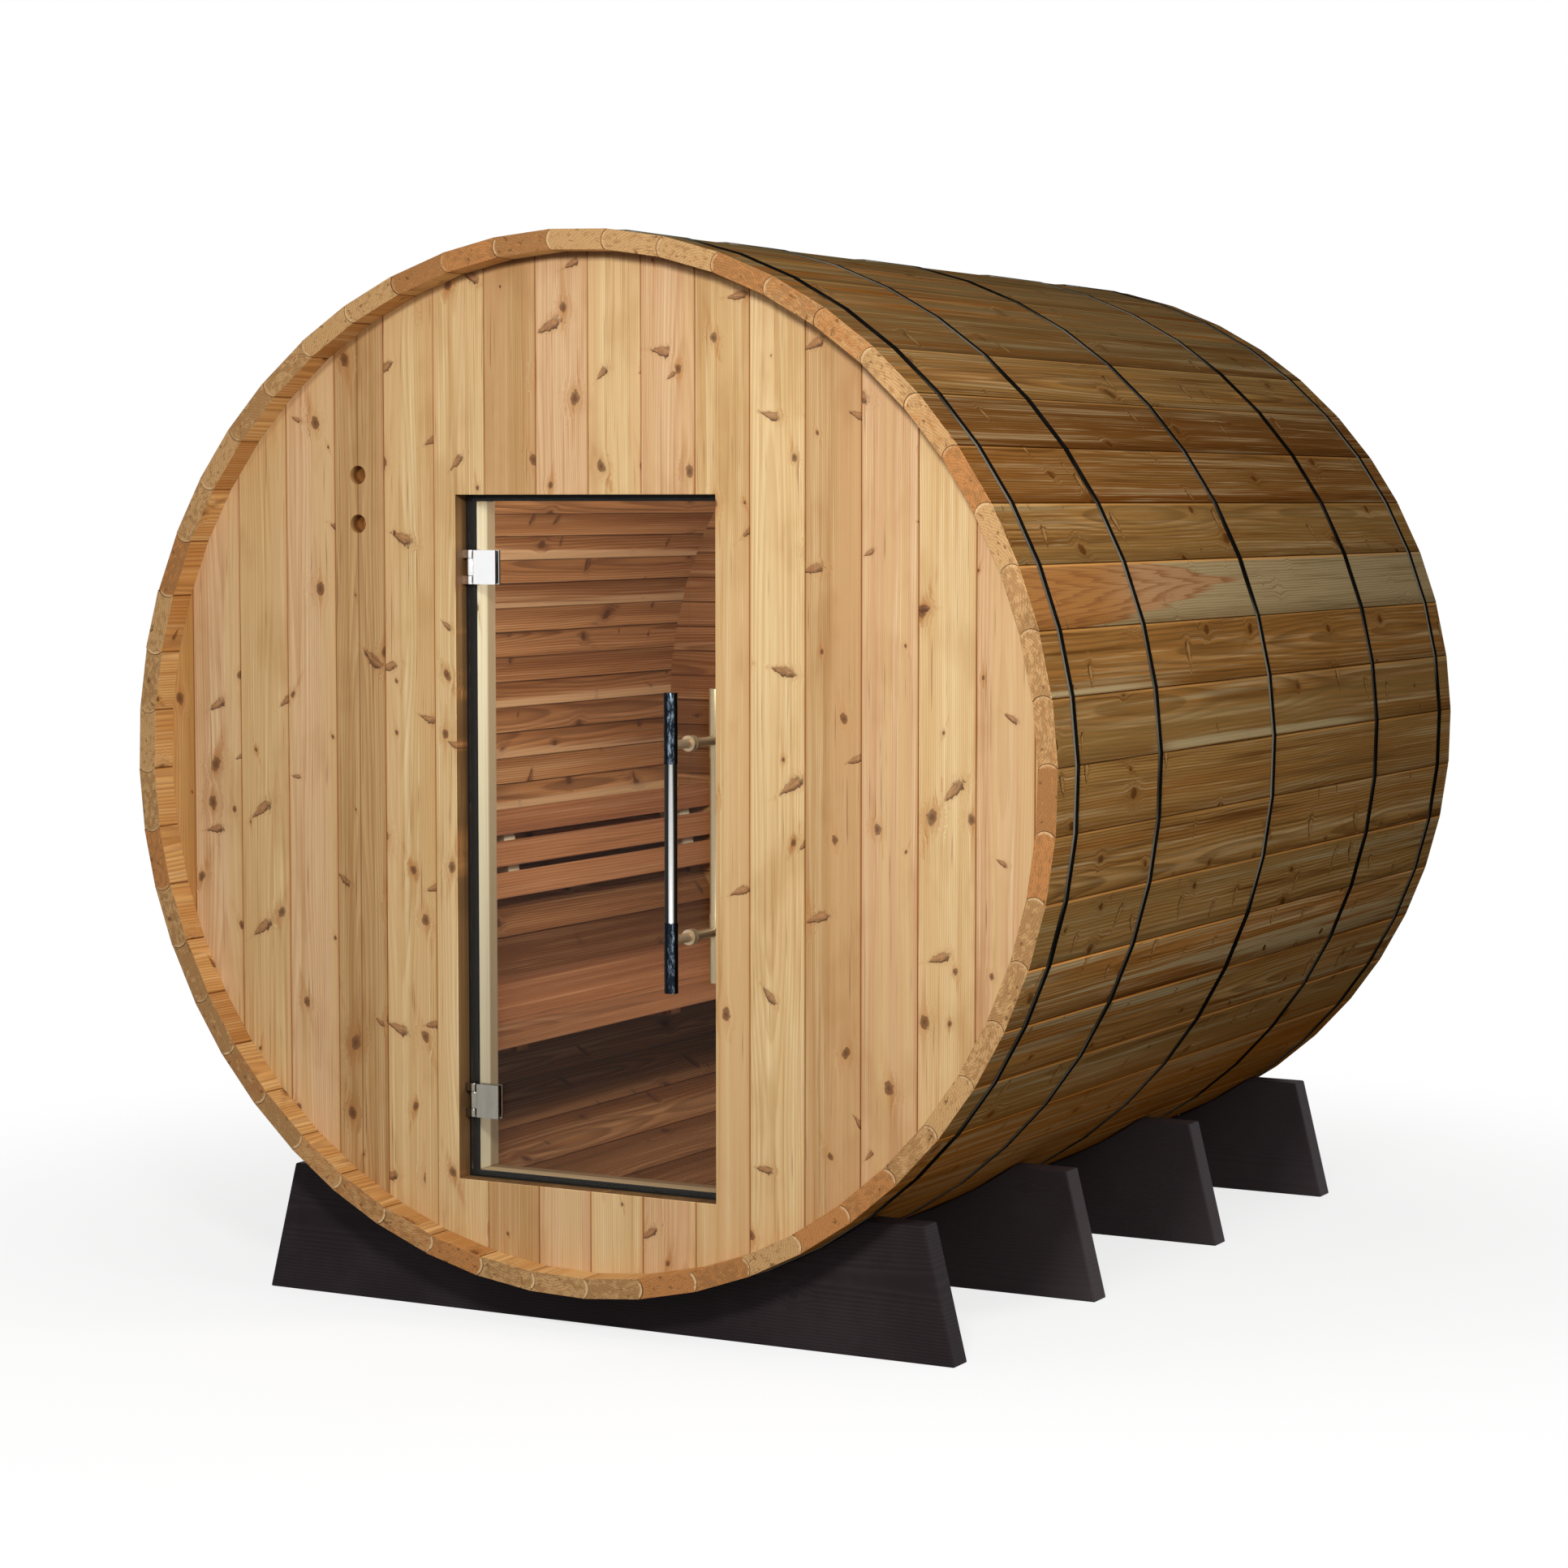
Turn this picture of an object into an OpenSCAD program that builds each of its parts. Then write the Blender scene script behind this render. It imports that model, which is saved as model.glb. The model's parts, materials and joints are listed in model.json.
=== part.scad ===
// Barrel sauna: a lying barrel of bead-and-cove staves on four cradles, with steel bands,
// a boarded front with a hinged glass door, and a slatted bench along the left side.
// The barrel's axis runs along Y, the front faces -Y, and the ground is at Z = 0.

/* [Barrel] */
// Diameter over the stave joints
barrel_d = 1830; // [1700:10:2000]
// Length of the staves
barrel_l = 1970; // [1800:10:2600]
// Thickness of a stave
stave_t = 35; // [30:1:42]
// Number of staves, a multiple of four
stave_n = 52; // [48:4:56]
// Angle of the first stave joint above the right-hand horizontal
stave_phase = 1.9; // [0:0.1:6]
// How far a bead stands into the next stave's cove
bead_h = 8; // [5:0.5:10]
// Flat left beside a bead at each face of the stave
bead_shoulder = 1; // [0.5:0.5:3]
// Clearance in the joint between two staves
stave_gap = 0.3; // [0.2:0.05:0.5]
// Height of the barrel's underside above the ground
ground_gap = 65; // [50:1:100]

/* [Bands] */
// Width of a steel band
band_w = 16; // [12:1:24]
// Thickness of a steel band
band_t = 2; // [1.5:0.5:3]
// Distance of the outer bands from the ends of the barrel
band_edge = 77; // [40:1:78]
// Places of the inner bands along the barrel, as shares of its length
band_shares = [0.215, 0.486, 0.768];
// Diameter of a band's tension bolt
band_bolt_d = 8; // [6:1:10]
// Opening between the bent ends of a band
band_opening = 30; // [20:1:40]
// Height of the bent ends of a band
band_ear_h = 20; // [16:1:24]

/* [End walls] */
// Depth of the end walls behind the ends of the staves
wall_recess = 54; // [40:1:80]
// Thickness of an end wall
wall_t = 42; // [36:1:50]
// Depth of the groove in the staves that holds an end wall
croze_depth = 8; // [5:1:12]
// Diameter of the vent holes
vent_d = 33; // [20:1:50]
// Distance of the vent holes left of the middle
vent_x = 464; // [380:1:520]
// Height of the vent holes above the barrel's axis
vent_heights = [415, 501];

/* [Doorway] */
// Width of the doorway in the front wall
door_w = 520; // [480:1:600]
// Height of the doorway in the front wall
door_h = 1204; // [1100:1:1250]
// Height of the doorway's foot above the ground
door_sill_z = 242; // [220:1:300]
// How far the frame's sides stand into the doorway behind the wall
frame_lip = 18; // [16:1:24]
// How far the frame's head and sill stand into the doorway behind the wall
frame_lip_z = 11; // [10:1:20]
// Width of a frame board across the wall
frame_w = 60; // [50:1:80]
// Depth of a frame board behind the wall
frame_depth = 60; // [40:1:80]
// Thickness of the black seal on the frame
seal_t = 7; // [5:0.5:8]

/* [Glass door] */
// Thickness of the glass
glass_t = 8; // [6:1:10]
// Depth of the middle of the glass behind the wall's face
glass_depth = 25; // [24:0.5:26]
// Gap round the free edges of the glass
glass_gap = 6; // [5:0.5:8]
// Gap beside the hinged edge of the glass
glass_hinge_gap = 13; // [11:0.5:13]
// Distance of the hinge axis from the side of the doorway
hinge_axis_in = 16; // [15:0.5:18]
// Heights of the hinges above the foot of the doorway
hinge_heights = [138, 1078];
// Height of a hinge
hinge_h = 60; // [54:1:70]
// Width of a hinge plate on the glass
hinge_plate_w = 46; // [40:1:70]
// Thickness of a hinge plate
hinge_plate_t = 5; // [4:0.5:6]
// Diameter of a hinge pin
hinge_pin_d = 8; // [6:0.5:8]
// Diameter of a hinge knuckle
hinge_knuckle_d = 14; // [13:0.5:15]
// Height of the knuckle in the middle of a hinge
hinge_knuckle_h = 30; // [24:1:34]

/* [Pull handles] */
// Distance of the handles right of the middle
handle_x = 197; // [150:1:200]
// Diameter of the sleeves at the ends of a handle bar
handle_d = 24; // [18:1:26]
// Length of a sleeve
sleeve_l = 120; // [100:1:140]
// Height of a sleeve's step above the grip between the sleeves
sleeve_step = 1; // [0.5:0.5:2]
// Length of a handle bar
handle_l = 509; // [420:1:560]
// Height of the handles' middle above the foot of the doorway
handle_z = 617; // [560:1:700]
// Distance between the two posts of a handle
post_span = 331; // [260:1:380]
// Diameter of a handle post
post_d = 16; // [12:1:20]
// Diameter of the rosette at the foot of a post
rosette_d = 27; // [22:1:32]
// Thickness of a rosette
rosette_t = 4; // [3:0.5:6]
// Distance of the outer bar's middle from the glass
handle_reach = 62; // [45:1:62]
// Distance of the inner bar's middle from the glass
inner_reach = 86; // [45:1:90]
// Diameter of the bolts that join the two handles through the glass
post_bolt_d = 10; // [8:1:11]

/* [Cradles] */
// Thickness of a cradle along the barrel
cradle_t = 51; // [40:1:70]
// Height of a cradle at its shoulders
cradle_h = 233; // [200:1:260]
// Width of a cradle on the ground
cradle_base_w = 1390; // [1300:5:1500]
// Width of a cradle across its shoulders
cradle_top_w = 1274; // [1200:2:1290]
// Distance of the outer cradles' faces from the ends of the barrel
cradle_edge = 87; // [82:1:140]

/* [Bench] */
// Height of the seat above the ground
seat_z = 480; // [440:5:540]
// Distance of the seat's front edge left of the middle
seat_front_x = 332; // [315:1:400]
// Thickness of the seat slats
seat_t = 28; // [20:1:35]
// Number of seat slats
seat_n = 4; // [3:1:5]
// Gap between slats
slat_gap = 12; // [8:1:16]
// Height of the rail along the seat's front
rail_h = 48; // [40:1:70]
// Thickness of the rail along the seat's front
rail_t = 22; // [18:1:28]
// Thickness of the bench brackets
bracket_t = 38; // [30:1:45]
// Height of a bracket's front edge
bracket_front_h = 35; // [25:1:60]
// Fall of a bracket's underside towards the staves
bracket_fall = 60; // [20:5:120]
// Distance of the end brackets from the middle of the barrel
bracket_span = 570; // [400:10:800]

/* [Backrest] */
// Height of the backrest's lower edge above the ground
back_z = 625; // [580:5:660]
// Number of backrest slats
back_n = 3; // [2:1:5]
// Height of a backrest slat
back_slat_h = 52; // [40:1:60]
// Thickness of a backrest slat
back_slat_t = 20; // [16:1:26]
// Lean of the backrest from upright
back_lean = 9; // [6:1:12]
// Distance of the battens' lower front corner from the staves
back_stand = 31; // [24:1:50]
// Width of a batten
batten_w = 42; // [30:1:60]
// Distance of the middle batten behind the middle of the barrel
batten_y = 75; // [0:5:100]
// Distance between battens
batten_step = 725; // [500:5:740]

/* [Hidden] */
$fn = 96;
// Clearance between pieces that sit on each other
seat_clear = 0.3;
// Running clearance round a hinge pin
pin_clear = 0.05;
// Running clearance between hinge knuckles
knuckle_clear = 0.5;
// Clearance above and below a hinge in the notch of the glass
notch_clear = 3;
// Gap between a hinge's knuckle and its plates
hinge_plate_gap = 3;
// Overlap of a hinge's web with its plates
hinge_web_lap = 5;
// Clearance round a bolt in its hole
bolt_clear = 0.3;
// Extra length of cutting shapes
past = 10;
barrel_r = barrel_d / 2;
axis_z = barrel_r + ground_gap;
stave_pitch = 360 / stave_n;
group_n = stave_n / 4;
half_pitch = stave_pitch / 2;
flat_r = barrel_r * cos(half_pitch);
inner_r = flat_r - stave_t;
joint_r = barrel_r - stave_t / (2 * cos(half_pitch));
bead_w = stave_t / cos(half_pitch) - 2 * bead_shoulder;
bead_r = (bead_w * bead_w / 4 + bead_h * bead_h) / (2 * bead_h);
wall_r = inner_r + croze_depth;
front_y = -barrel_l / 2;
wall_y = front_y + wall_recess;
wall_back_y = wall_y + wall_t;
rear_wall_y = -wall_back_y;
band_ys = [
    front_y + band_edge,
    front_y + band_shares[0] * barrel_l,
    front_y + band_shares[1] * barrel_l,
    front_y + band_shares[2] * barrel_l,
    -front_y - band_edge
];
band_flat_r = (barrel_r + seat_clear) * cos(half_pitch);
band_nut_d = 1.8 * band_bolt_d;
band_nut_h = 0.8 * band_bolt_d;
band_ear_angle = stave_phase + (floor(stave_n * 0.61) + 0.5) * stave_pitch;
door_half_w = door_w / 2;
door_top_z = door_sill_z + door_h;
glass_y = wall_y + glass_depth;
glass_front_y = glass_y - glass_t / 2;
glass_back_y = glass_y + glass_t / 2;
glass_left = -door_half_w + glass_hinge_gap;
glass_right = door_half_w - glass_gap;
glass_foot = door_sill_z + glass_gap;
glass_head = door_top_z - glass_gap;
hinge_x = -door_half_w + hinge_axis_in;
hinge_plate_x = hinge_knuckle_d / 2 + hinge_plate_gap;
hinge_web_x = hinge_plate_x + hinge_web_lap;
hinge_ear_h = (hinge_h - hinge_knuckle_h) / 2 - knuckle_clear;
notch_w = hinge_x + hinge_web_x - glass_left;
notch_h = hinge_h + 2 * notch_clear;
frame_in = door_half_w - frame_lip;
frame_out = frame_in + frame_w;
post_zs = [
    door_sill_z + handle_z - post_span / 2,
    door_sill_z + handle_z + post_span / 2
];
cradle_first_y = front_y + cradle_edge + cradle_t / 2;
cradle_step = -2 * cradle_first_y / 3;
bench_l = -2 * wall_back_y - 2 * seat_clear;
seat_under = seat_z - seat_t;
seat_wall_x = sqrt(pow(inner_r - seat_clear, 2) - pow(axis_z - seat_under, 2));
bracket_front_x = seat_front_x + rail_t;
slat_w = (seat_wall_x - bracket_front_x) / seat_n - slat_gap;
bracket_ys = [-bracket_span, 0, bracket_span];
batten_ys = [batten_y - batten_step, batten_y, batten_y + batten_step];
back_x = sqrt(pow(inner_r, 2) - pow(axis_z - back_z, 2)) - back_stand;
back_pitch = back_slat_h + slat_gap;
back_h = back_n * back_pitch - slat_gap;

function joint_angle(i) = stave_phase + i * stave_pitch;
function barrel_outline(r) = [for (i = [0:stave_n - 1]) r * [cos(joint_angle(i)), sin(joint_angle(i))]];

// Sweeps an outline drawn in the XZ plane along Y from y0 over a length
module along_y(y0, length) {
    translate([0, y0, 0])
        rotate([90, 0, 0])
            mirror([0, 0, 1])
                linear_extrude(length)
                    children();
}

// All that lies below a joint on the X axis, with the bead that stands above it
module below_joint(grow) {
    translate([joint_r, bead_h - bead_r])
        circle(bead_r + grow);
    translate([0, grow - barrel_r])
        square([barrel_d, barrel_r]);
}

// Cross-section of one stave: a bead on its upper edge and a cove on its lower edge
module stave_profile() {
    difference() {
        intersection() {
            translate([inner_r, -barrel_r / 2])
                square([stave_t, barrel_r]);
            rotate(half_pitch)
                below_joint(0);
        }
        rotate(-half_pitch)
            below_joint(stave_gap);
    }
}

module croze(y0) {
    translate([0, y0 - seat_clear, axis_z])
        rotate([-90, 0, 0])
            cylinder(h = wall_t + 2 * seat_clear, r = wall_r + seat_clear);
}

module stave_group(first) {
    color("peru")
        difference() {
            along_y(front_y, barrel_l)
                translate([0, axis_z])
                    for (i = [first:first + group_n - 1])
                        rotate(joint_angle(i) + half_pitch)
                            stave_profile();
            croze(wall_y);
            croze(rear_wall_y);
        }
}

module floor_staves() { stave_group(floor(stave_n * 5 / 8)); }
module right_staves() { stave_group(floor(stave_n * 7 / 8)); }
module roof_staves() { stave_group(floor(stave_n / 8)); }
module left_staves() { stave_group(floor(stave_n * 3 / 8)); }

// Outline of a hoop bent over the stave joints, open between its two bent ends
module band_outline() {
    ears_w = band_opening + 2 * band_t;
    difference() {
        union() {
            difference() {
                polygon(barrel_outline(barrel_r + seat_clear + band_t));
                polygon(barrel_outline(barrel_r + seat_clear));
            }
            rotate(band_ear_angle)
                translate([band_flat_r + band_t / 2, -ears_w / 2])
                    square([band_ear_h, ears_w]);
        }
        rotate(band_ear_angle)
            translate([band_flat_r - past, -band_opening / 2])
                square([band_ear_h + 2 * past, band_opening]);
    }
}

// Draws a shape along the tension bolt, from the middle of a band's opening
module on_band_bolt() {
    rotate(band_ear_angle)
        translate([band_flat_r + band_ear_h - band_bolt_d, 0, 0])
            rotate([90, 0, 0])
                children();
}

// A hoop and the bolt with its head and nut that draws its ends together
module band(y) {
    grip = band_opening / 2 + band_t;
    color("dimgray")
        translate([0, y, axis_z])
            rotate([90, 0, 0]) {
                difference() {
                    linear_extrude(band_w, center = true)
                        band_outline();
                    on_band_bolt()
                        cylinder(h = 2 * grip + past, d = band_bolt_d + 2 * bolt_clear, center = true);
                }
                on_band_bolt() {
                    cylinder(h = 2 * (grip + band_bolt_d), d = band_bolt_d, center = true);
                    for (side = [0, 1])
                        mirror([0, 0, side])
                            translate([0, 0, grip + seat_clear])
                                cylinder(h = band_nut_h, d = band_nut_d, $fn = 6);
                }
            }
}

module front_band() { band(band_ys[0]); }
module front_inner_band() { band(band_ys[1]); }
module middle_band() { band(band_ys[2]); }
module rear_inner_band() { band(band_ys[3]); }
module rear_band() { band(band_ys[4]); }

// The part of an end wall's disc that lies between two sides and two heights
module wall_piece(y0, x0, x1, z0, z1) {
    color("burlywood")
        along_y(y0, wall_t)
            intersection() {
                translate([0, axis_z])
                    circle(wall_r, $fn = 360);
                translate([x0, z0])
                    square([x1 - x0, z1 - z0]);
            }
}

module front_wall_left() {
    difference() {
        wall_piece(wall_y, -barrel_r, -door_half_w, 0, axis_z + barrel_r);
        for (h = vent_heights)
            translate([-vent_x, wall_y - past, axis_z + h])
                rotate([-90, 0, 0])
                    cylinder(h = wall_t + 2 * past, d = vent_d);
    }
}

module front_wall_right() { wall_piece(wall_y, door_half_w, barrel_r, 0, axis_z + barrel_r); }
module front_wall_header() {
    wall_piece(wall_y, -door_half_w, door_half_w, door_top_z, axis_z + barrel_r);
}
module front_wall_base() { wall_piece(wall_y, -door_half_w, door_half_w, 0, door_sill_z); }
module rear_wall() { wall_piece(rear_wall_y, -barrel_r, barrel_r, 0, axis_z + barrel_r); }

// A board of the frame behind the doorway
module frame_board(x0, x1, z0, z1) {
    color("tan")
        translate([x0, wall_back_y, z0])
            cube([x1 - x0, frame_depth, z1 - z0]);
}

module door_jambs() {
    for (side = [0, 1])
        mirror([side, 0, 0])
            frame_board(frame_in, frame_out, door_sill_z + frame_lip_z, door_top_z - frame_lip_z);
}

module door_head() {
    head_z = door_top_z - frame_lip_z;
    frame_board(-frame_out, frame_out, head_z, head_z + frame_w);
}

module door_sill() {
    sill_z = door_sill_z + frame_lip_z;
    frame_board(-frame_out, frame_out, sill_z - frame_w, sill_z);
}

// The rubber strip on the frame that the glass closes against
module door_seal() {
    color([0.05, 0.05, 0.05])
        along_y(wall_back_y - seal_t, seal_t)
            difference() {
                translate([-door_half_w, door_sill_z])
                    square([door_w, door_h]);
                translate([-frame_in, door_sill_z + frame_lip_z])
                    square([2 * frame_in, door_h - 2 * frame_lip_z]);
            }
}

// Places one hinge's shapes on its axis, at the middle of its height
module at_hinges() {
    for (h = hinge_heights)
        translate([hinge_x, glass_y, door_sill_z + h])
            children();
}

// Two ears on the side of the doorway that hold the hinge pin
module hinge_brackets() {
    ear_z = hinge_knuckle_h / 2 + knuckle_clear;
    color("silver")
        at_hinges() {
            cylinder(h = hinge_h, d = hinge_pin_d, center = true);
            for (side = [0, 1])
                mirror([0, 0, side])
                    translate([0, 0, ear_z]) {
                        cylinder(h = hinge_ear_h, d = hinge_knuckle_d);
                        translate([-hinge_axis_in, -hinge_pin_d / 2, 0])
                            cube([hinge_axis_in, hinge_pin_d, hinge_ear_h]);
                    }
        }
}

// The knuckle, and the two plates that clamp the glass from both sides through its notch
module hinge_clamps() {
    color("silver")
        at_hinges()
            difference() {
                union() {
                    cylinder(h = hinge_knuckle_h, d = hinge_knuckle_d, center = true);
                    translate([0, -glass_t / 2, -hinge_knuckle_h / 2])
                        cube([hinge_web_x, glass_t, hinge_knuckle_h]);
                    for (side = [0, 1])
                        mirror([0, side, 0])
                            translate([hinge_plate_x, glass_t / 2, -hinge_h / 2])
                                cube([hinge_plate_w, hinge_plate_t, hinge_h]);
                }
                cylinder(h = hinge_h, d = hinge_pin_d + 2 * pin_clear, center = true);
            }
}

module door_glass() {
    color([0.75, 0.85, 0.85, 0.35])
        difference() {
            translate([glass_left, glass_front_y, glass_foot])
                cube([glass_right - glass_left, glass_t, glass_head - glass_foot]);
            for (h = hinge_heights)
                translate([glass_left - past, glass_front_y - past, door_sill_z + h - notch_h / 2])
                    cube([notch_w + past, glass_t + 2 * past, notch_h]);
            for (z = post_zs)
                translate([handle_x, glass_front_y - past, z])
                    rotate([-90, 0, 0])
                        cylinder(h = glass_t + 2 * past, d = post_bolt_d + 2 * bolt_clear);
        }
}

// A grip with a sleeve at each end
module handle_bar(y) {
    color("silver")
        translate([handle_x, y, door_sill_z + handle_z]) {
            cylinder(h = handle_l - sleeve_l, d = handle_d - 2 * sleeve_step, center = true);
            for (side = [0, 1])
                mirror([0, 0, side])
                    translate([0, 0, handle_l / 2 - sleeve_l])
                        cylinder(h = sleeve_l, d = handle_d);
        }
}

// Two posts with rosettes from the glass to a bar, hollowed to the bar's round
module handle_posts(side, reach) {
    color("silver")
        difference() {
            for (z = post_zs)
                translate([handle_x, glass_y + side * glass_t / 2, z])
                    rotate([-90 * side, 0, 0]) {
                        cylinder(h = reach, d = post_d);
                        cylinder(h = rosette_t, d = rosette_d);
                    }
            translate([handle_x, glass_y + side * (glass_t / 2 + reach), door_sill_z + handle_z])
                cylinder(h = handle_l, d = handle_d + 2 * seat_clear, center = true);
        }
}

module outer_handle_bar() { handle_bar(glass_front_y - handle_reach); }
module inner_handle_bar() { handle_bar(glass_back_y + inner_reach); }
module inner_handle_posts() { handle_posts(1, inner_reach); }
module outer_handle_posts() {
    handle_posts(-1, handle_reach);
    color("silver")
        for (z = post_zs)
            translate([handle_x, glass_front_y, z])
                rotate([-90, 0, 0])
                    cylinder(h = glass_t, d = post_bolt_d);
}

// A timber cradle with slanted ends, hollowed to the barrel's round
module cradle(index) {
    color([0.12, 0.11, 0.12])
        along_y(cradle_first_y + index * cradle_step - cradle_t / 2, cradle_t)
            difference() {
                polygon([
                    [-cradle_base_w / 2, 0],
                    [cradle_base_w / 2, 0],
                    [cradle_top_w / 2, cradle_h],
                    [-cradle_top_w / 2, cradle_h]
                ]);
                translate([0, axis_z])
                    circle(barrel_r + seat_clear, $fn = 360);
            }
}

module front_cradle() { cradle(0); }
module front_inner_cradle() { cradle(1); }
module rear_inner_cradle() { cradle(2); }
module rear_cradle() { cradle(3); }

module bench_seat_slats() {
    color("sienna")
        for (i = [0:seat_n - 1])
            translate([-bracket_front_x - (i + 1) * (slat_w + slat_gap), -bench_l / 2, seat_under])
                cube([slat_w, bench_l, seat_t]);
}

module bench_front_rail() {
    color("sienna")
        translate([-bracket_front_x, -bench_l / 2, seat_z - rail_h])
            cube([rail_t, bench_l, rail_h]);
}

// Bearers under the seat, cut to the round of the staves
module bench_brackets() {
    color("saddlebrown")
        for (y = bracket_ys)
            along_y(y - bracket_t / 2, bracket_t)
                intersection() {
                    translate([0, axis_z])
                        circle(inner_r - seat_clear, $fn = 360);
                    polygon([
                        [-bracket_front_x, seat_under],
                        [-bracket_front_x, seat_under - bracket_front_h],
                        [-barrel_r, seat_under - bracket_front_h - bracket_fall],
                        [-barrel_r, seat_under]
                    ]);
                }
}

// Draws a shape in the backrest's plane, from the lower front corner of its battens
module on_backrest() {
    translate([-back_x, back_z])
        rotate(back_lean)
            children();
}

module backrest_slats() {
    color("sienna")
        along_y(-bench_l / 2, bench_l)
            on_backrest()
                for (i = [0:back_n - 1])
                    translate([0, i * back_pitch])
                        square([back_slat_t, back_slat_h]);
}

module backrest_battens() {
    color("saddlebrown")
        for (y = batten_ys)
            along_y(y - batten_w / 2, batten_w)
                intersection() {
                    translate([0, axis_z])
                        circle(inner_r - seat_clear, $fn = 360);
                    on_backrest()
                        translate([-barrel_r, 0])
                            square([barrel_r, back_h]);
                }
}

floor_staves();
left_staves();
right_staves();
roof_staves();
front_band();
front_inner_band();
middle_band();
rear_inner_band();
rear_band();
front_wall_left();
front_wall_right();
front_wall_header();
front_wall_base();
rear_wall();
door_jambs();
door_head();
door_sill();
door_seal();
hinge_brackets();
door_glass();
hinge_clamps();
outer_handle_bar();
outer_handle_posts();
inner_handle_bar();
inner_handle_posts();
front_cradle();
front_inner_cradle();
rear_inner_cradle();
rear_cradle();
bench_seat_slats();
bench_front_rail();
bench_brackets();
backrest_slats();
backrest_battens();
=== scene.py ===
import json
import math
import random

import bmesh
import bpy
from mathutils import Matrix, Vector


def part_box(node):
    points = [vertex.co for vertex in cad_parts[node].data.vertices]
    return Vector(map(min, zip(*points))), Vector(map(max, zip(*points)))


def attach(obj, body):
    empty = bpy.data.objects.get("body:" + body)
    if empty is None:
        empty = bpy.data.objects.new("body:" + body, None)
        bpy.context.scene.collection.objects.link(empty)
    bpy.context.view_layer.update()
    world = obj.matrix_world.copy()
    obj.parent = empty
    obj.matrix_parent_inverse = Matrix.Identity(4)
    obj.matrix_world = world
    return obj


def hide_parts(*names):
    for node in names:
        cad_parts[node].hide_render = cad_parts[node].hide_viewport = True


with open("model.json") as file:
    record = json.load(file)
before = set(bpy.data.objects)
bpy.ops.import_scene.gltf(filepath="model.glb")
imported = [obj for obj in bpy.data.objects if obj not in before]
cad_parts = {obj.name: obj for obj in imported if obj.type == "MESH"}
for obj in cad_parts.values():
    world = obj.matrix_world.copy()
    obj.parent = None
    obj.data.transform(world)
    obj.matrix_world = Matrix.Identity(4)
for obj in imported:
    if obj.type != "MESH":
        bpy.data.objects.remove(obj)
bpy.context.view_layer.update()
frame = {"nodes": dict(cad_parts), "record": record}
nodes = frame["nodes"]
scene = bpy.context.scene
scene.view_settings.view_transform = "Standard"
print("stage: frame loaded,", len(nodes), "nodes")

# places taken from the frame
rearLow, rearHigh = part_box("rear_wall")
leftWallLow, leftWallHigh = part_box("front_wall_left")
headerLow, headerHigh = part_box("front_wall_header")
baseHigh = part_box("front_wall_base")[1]
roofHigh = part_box("roof_staves")[1]
axisZ = (rearLow.z + rearHigh.z) / 2
wallRadius = (rearHigh.x - rearLow.x) / 2
wallFront, wallBack = leftWallLow.y, leftWallHigh.y
halfLength = roofHigh.y
barrelRadius = roofHigh.z - axisZ
weldGap = 0.00002  # CAD corners closer than this are one corner


class Sock:
    def __init__(self, tree, socket):
        self.tree = tree
        self.socket = socket

    def make(self, kind, settings, values, out=0):
        node = self.tree.nodes.new(kind)
        for name, setting in settings.items():
            setattr(node, name, setting)
        for name, value in values.items():
            if isinstance(value, Sock):
                self.tree.links.new(value.socket, node.inputs[name])
            else:
                node.inputs[name].default_value = value
        return Sock(self.tree, node.outputs[out])

    def out(self, name):
        return Sock(self.tree, self.socket.node.outputs[name])

    def math(self, operation, *values):
        return self.make("ShaderNodeMath", {"operation": operation}, dict(enumerate(values)))

    def feed(self, shader, name):
        self.tree.links.new(self.socket, shader.inputs[name])

    def __add__(self, other):
        return self.math("ADD", self, other)

    def __radd__(self, other):
        return self.math("ADD", other, self)

    def __sub__(self, other):
        return self.math("SUBTRACT", self, other)

    def __rsub__(self, other):
        return self.math("SUBTRACT", other, self)

    def __mul__(self, other):
        return self.math("MULTIPLY", self, other)

    def __rmul__(self, other):
        return self.math("MULTIPLY", other, self)

    def __truediv__(self, other):
        return self.math("DIVIDE", self, other)

    def __lt__(self, other):
        return self.math("LESS_THAN", self, other)

    def __gt__(self, other):
        return self.math("GREATER_THAN", self, other)

    def __abs__(self):
        return self.math("ABSOLUTE", self)

    def __floor__(self):
        return self.math("FLOOR", self)


def root(value):
    return value.math("SQRT", value)


def fraction(value):
    return value.math("FRACT", value)


def smooth(value, low, high):
    return value.make(
        "ShaderNodeMapRange",
        {"interpolation_type": "SMOOTHSTEP"},
        {"Value": value, "From Min": low, "From Max": high},
    )


def clamped(value):
    return value.make("ShaderNodeClamp", {}, {"Value": value})


def joined(x, y, z):
    first = next(v for v in (x, y, z) if isinstance(v, Sock))
    return first.make("ShaderNodeCombineXYZ", {}, {0: x, 1: y, 2: z})


def parted(vector):
    x = vector.make("ShaderNodeSeparateXYZ", {}, {0: vector})
    return x, x.out(1), x.out(2)


def mixed(share, first, second):
    values = {0: share, 6: first, 7: second}
    return share.make("ShaderNodeMix", {"data_type": "RGBA"}, values, 2)


def darkened(share, colour, shade):
    values = {0: share, 6: colour, 7: shade}
    settings = {"data_type": "RGBA", "blend_type": "MULTIPLY"}
    return colour.make("ShaderNodeMix", settings, values, 2)


def noise(vector, detail=2.0, roughness=0.5):
    values = {"Vector": vector, "Scale": 1.0, "Detail": detail, "Roughness": roughness}
    return vector.make("ShaderNodeTexNoise", {}, values)


def dice(value):
    picked = value.make("ShaderNodeTexWhiteNoise", {"noise_dimensions": "1D"}, {"W": value}, 1)
    return parted(picked)


# a colour as seen on screen, 0 to 255
def paint(red, green, blue):
    def straight(part):
        part = part / 255
        return part / 12.92 if part <= 0.04045 else ((part + 0.055) / 1.055) ** 2.4
    return (straight(red), straight(green), straight(blue), 1)


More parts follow.
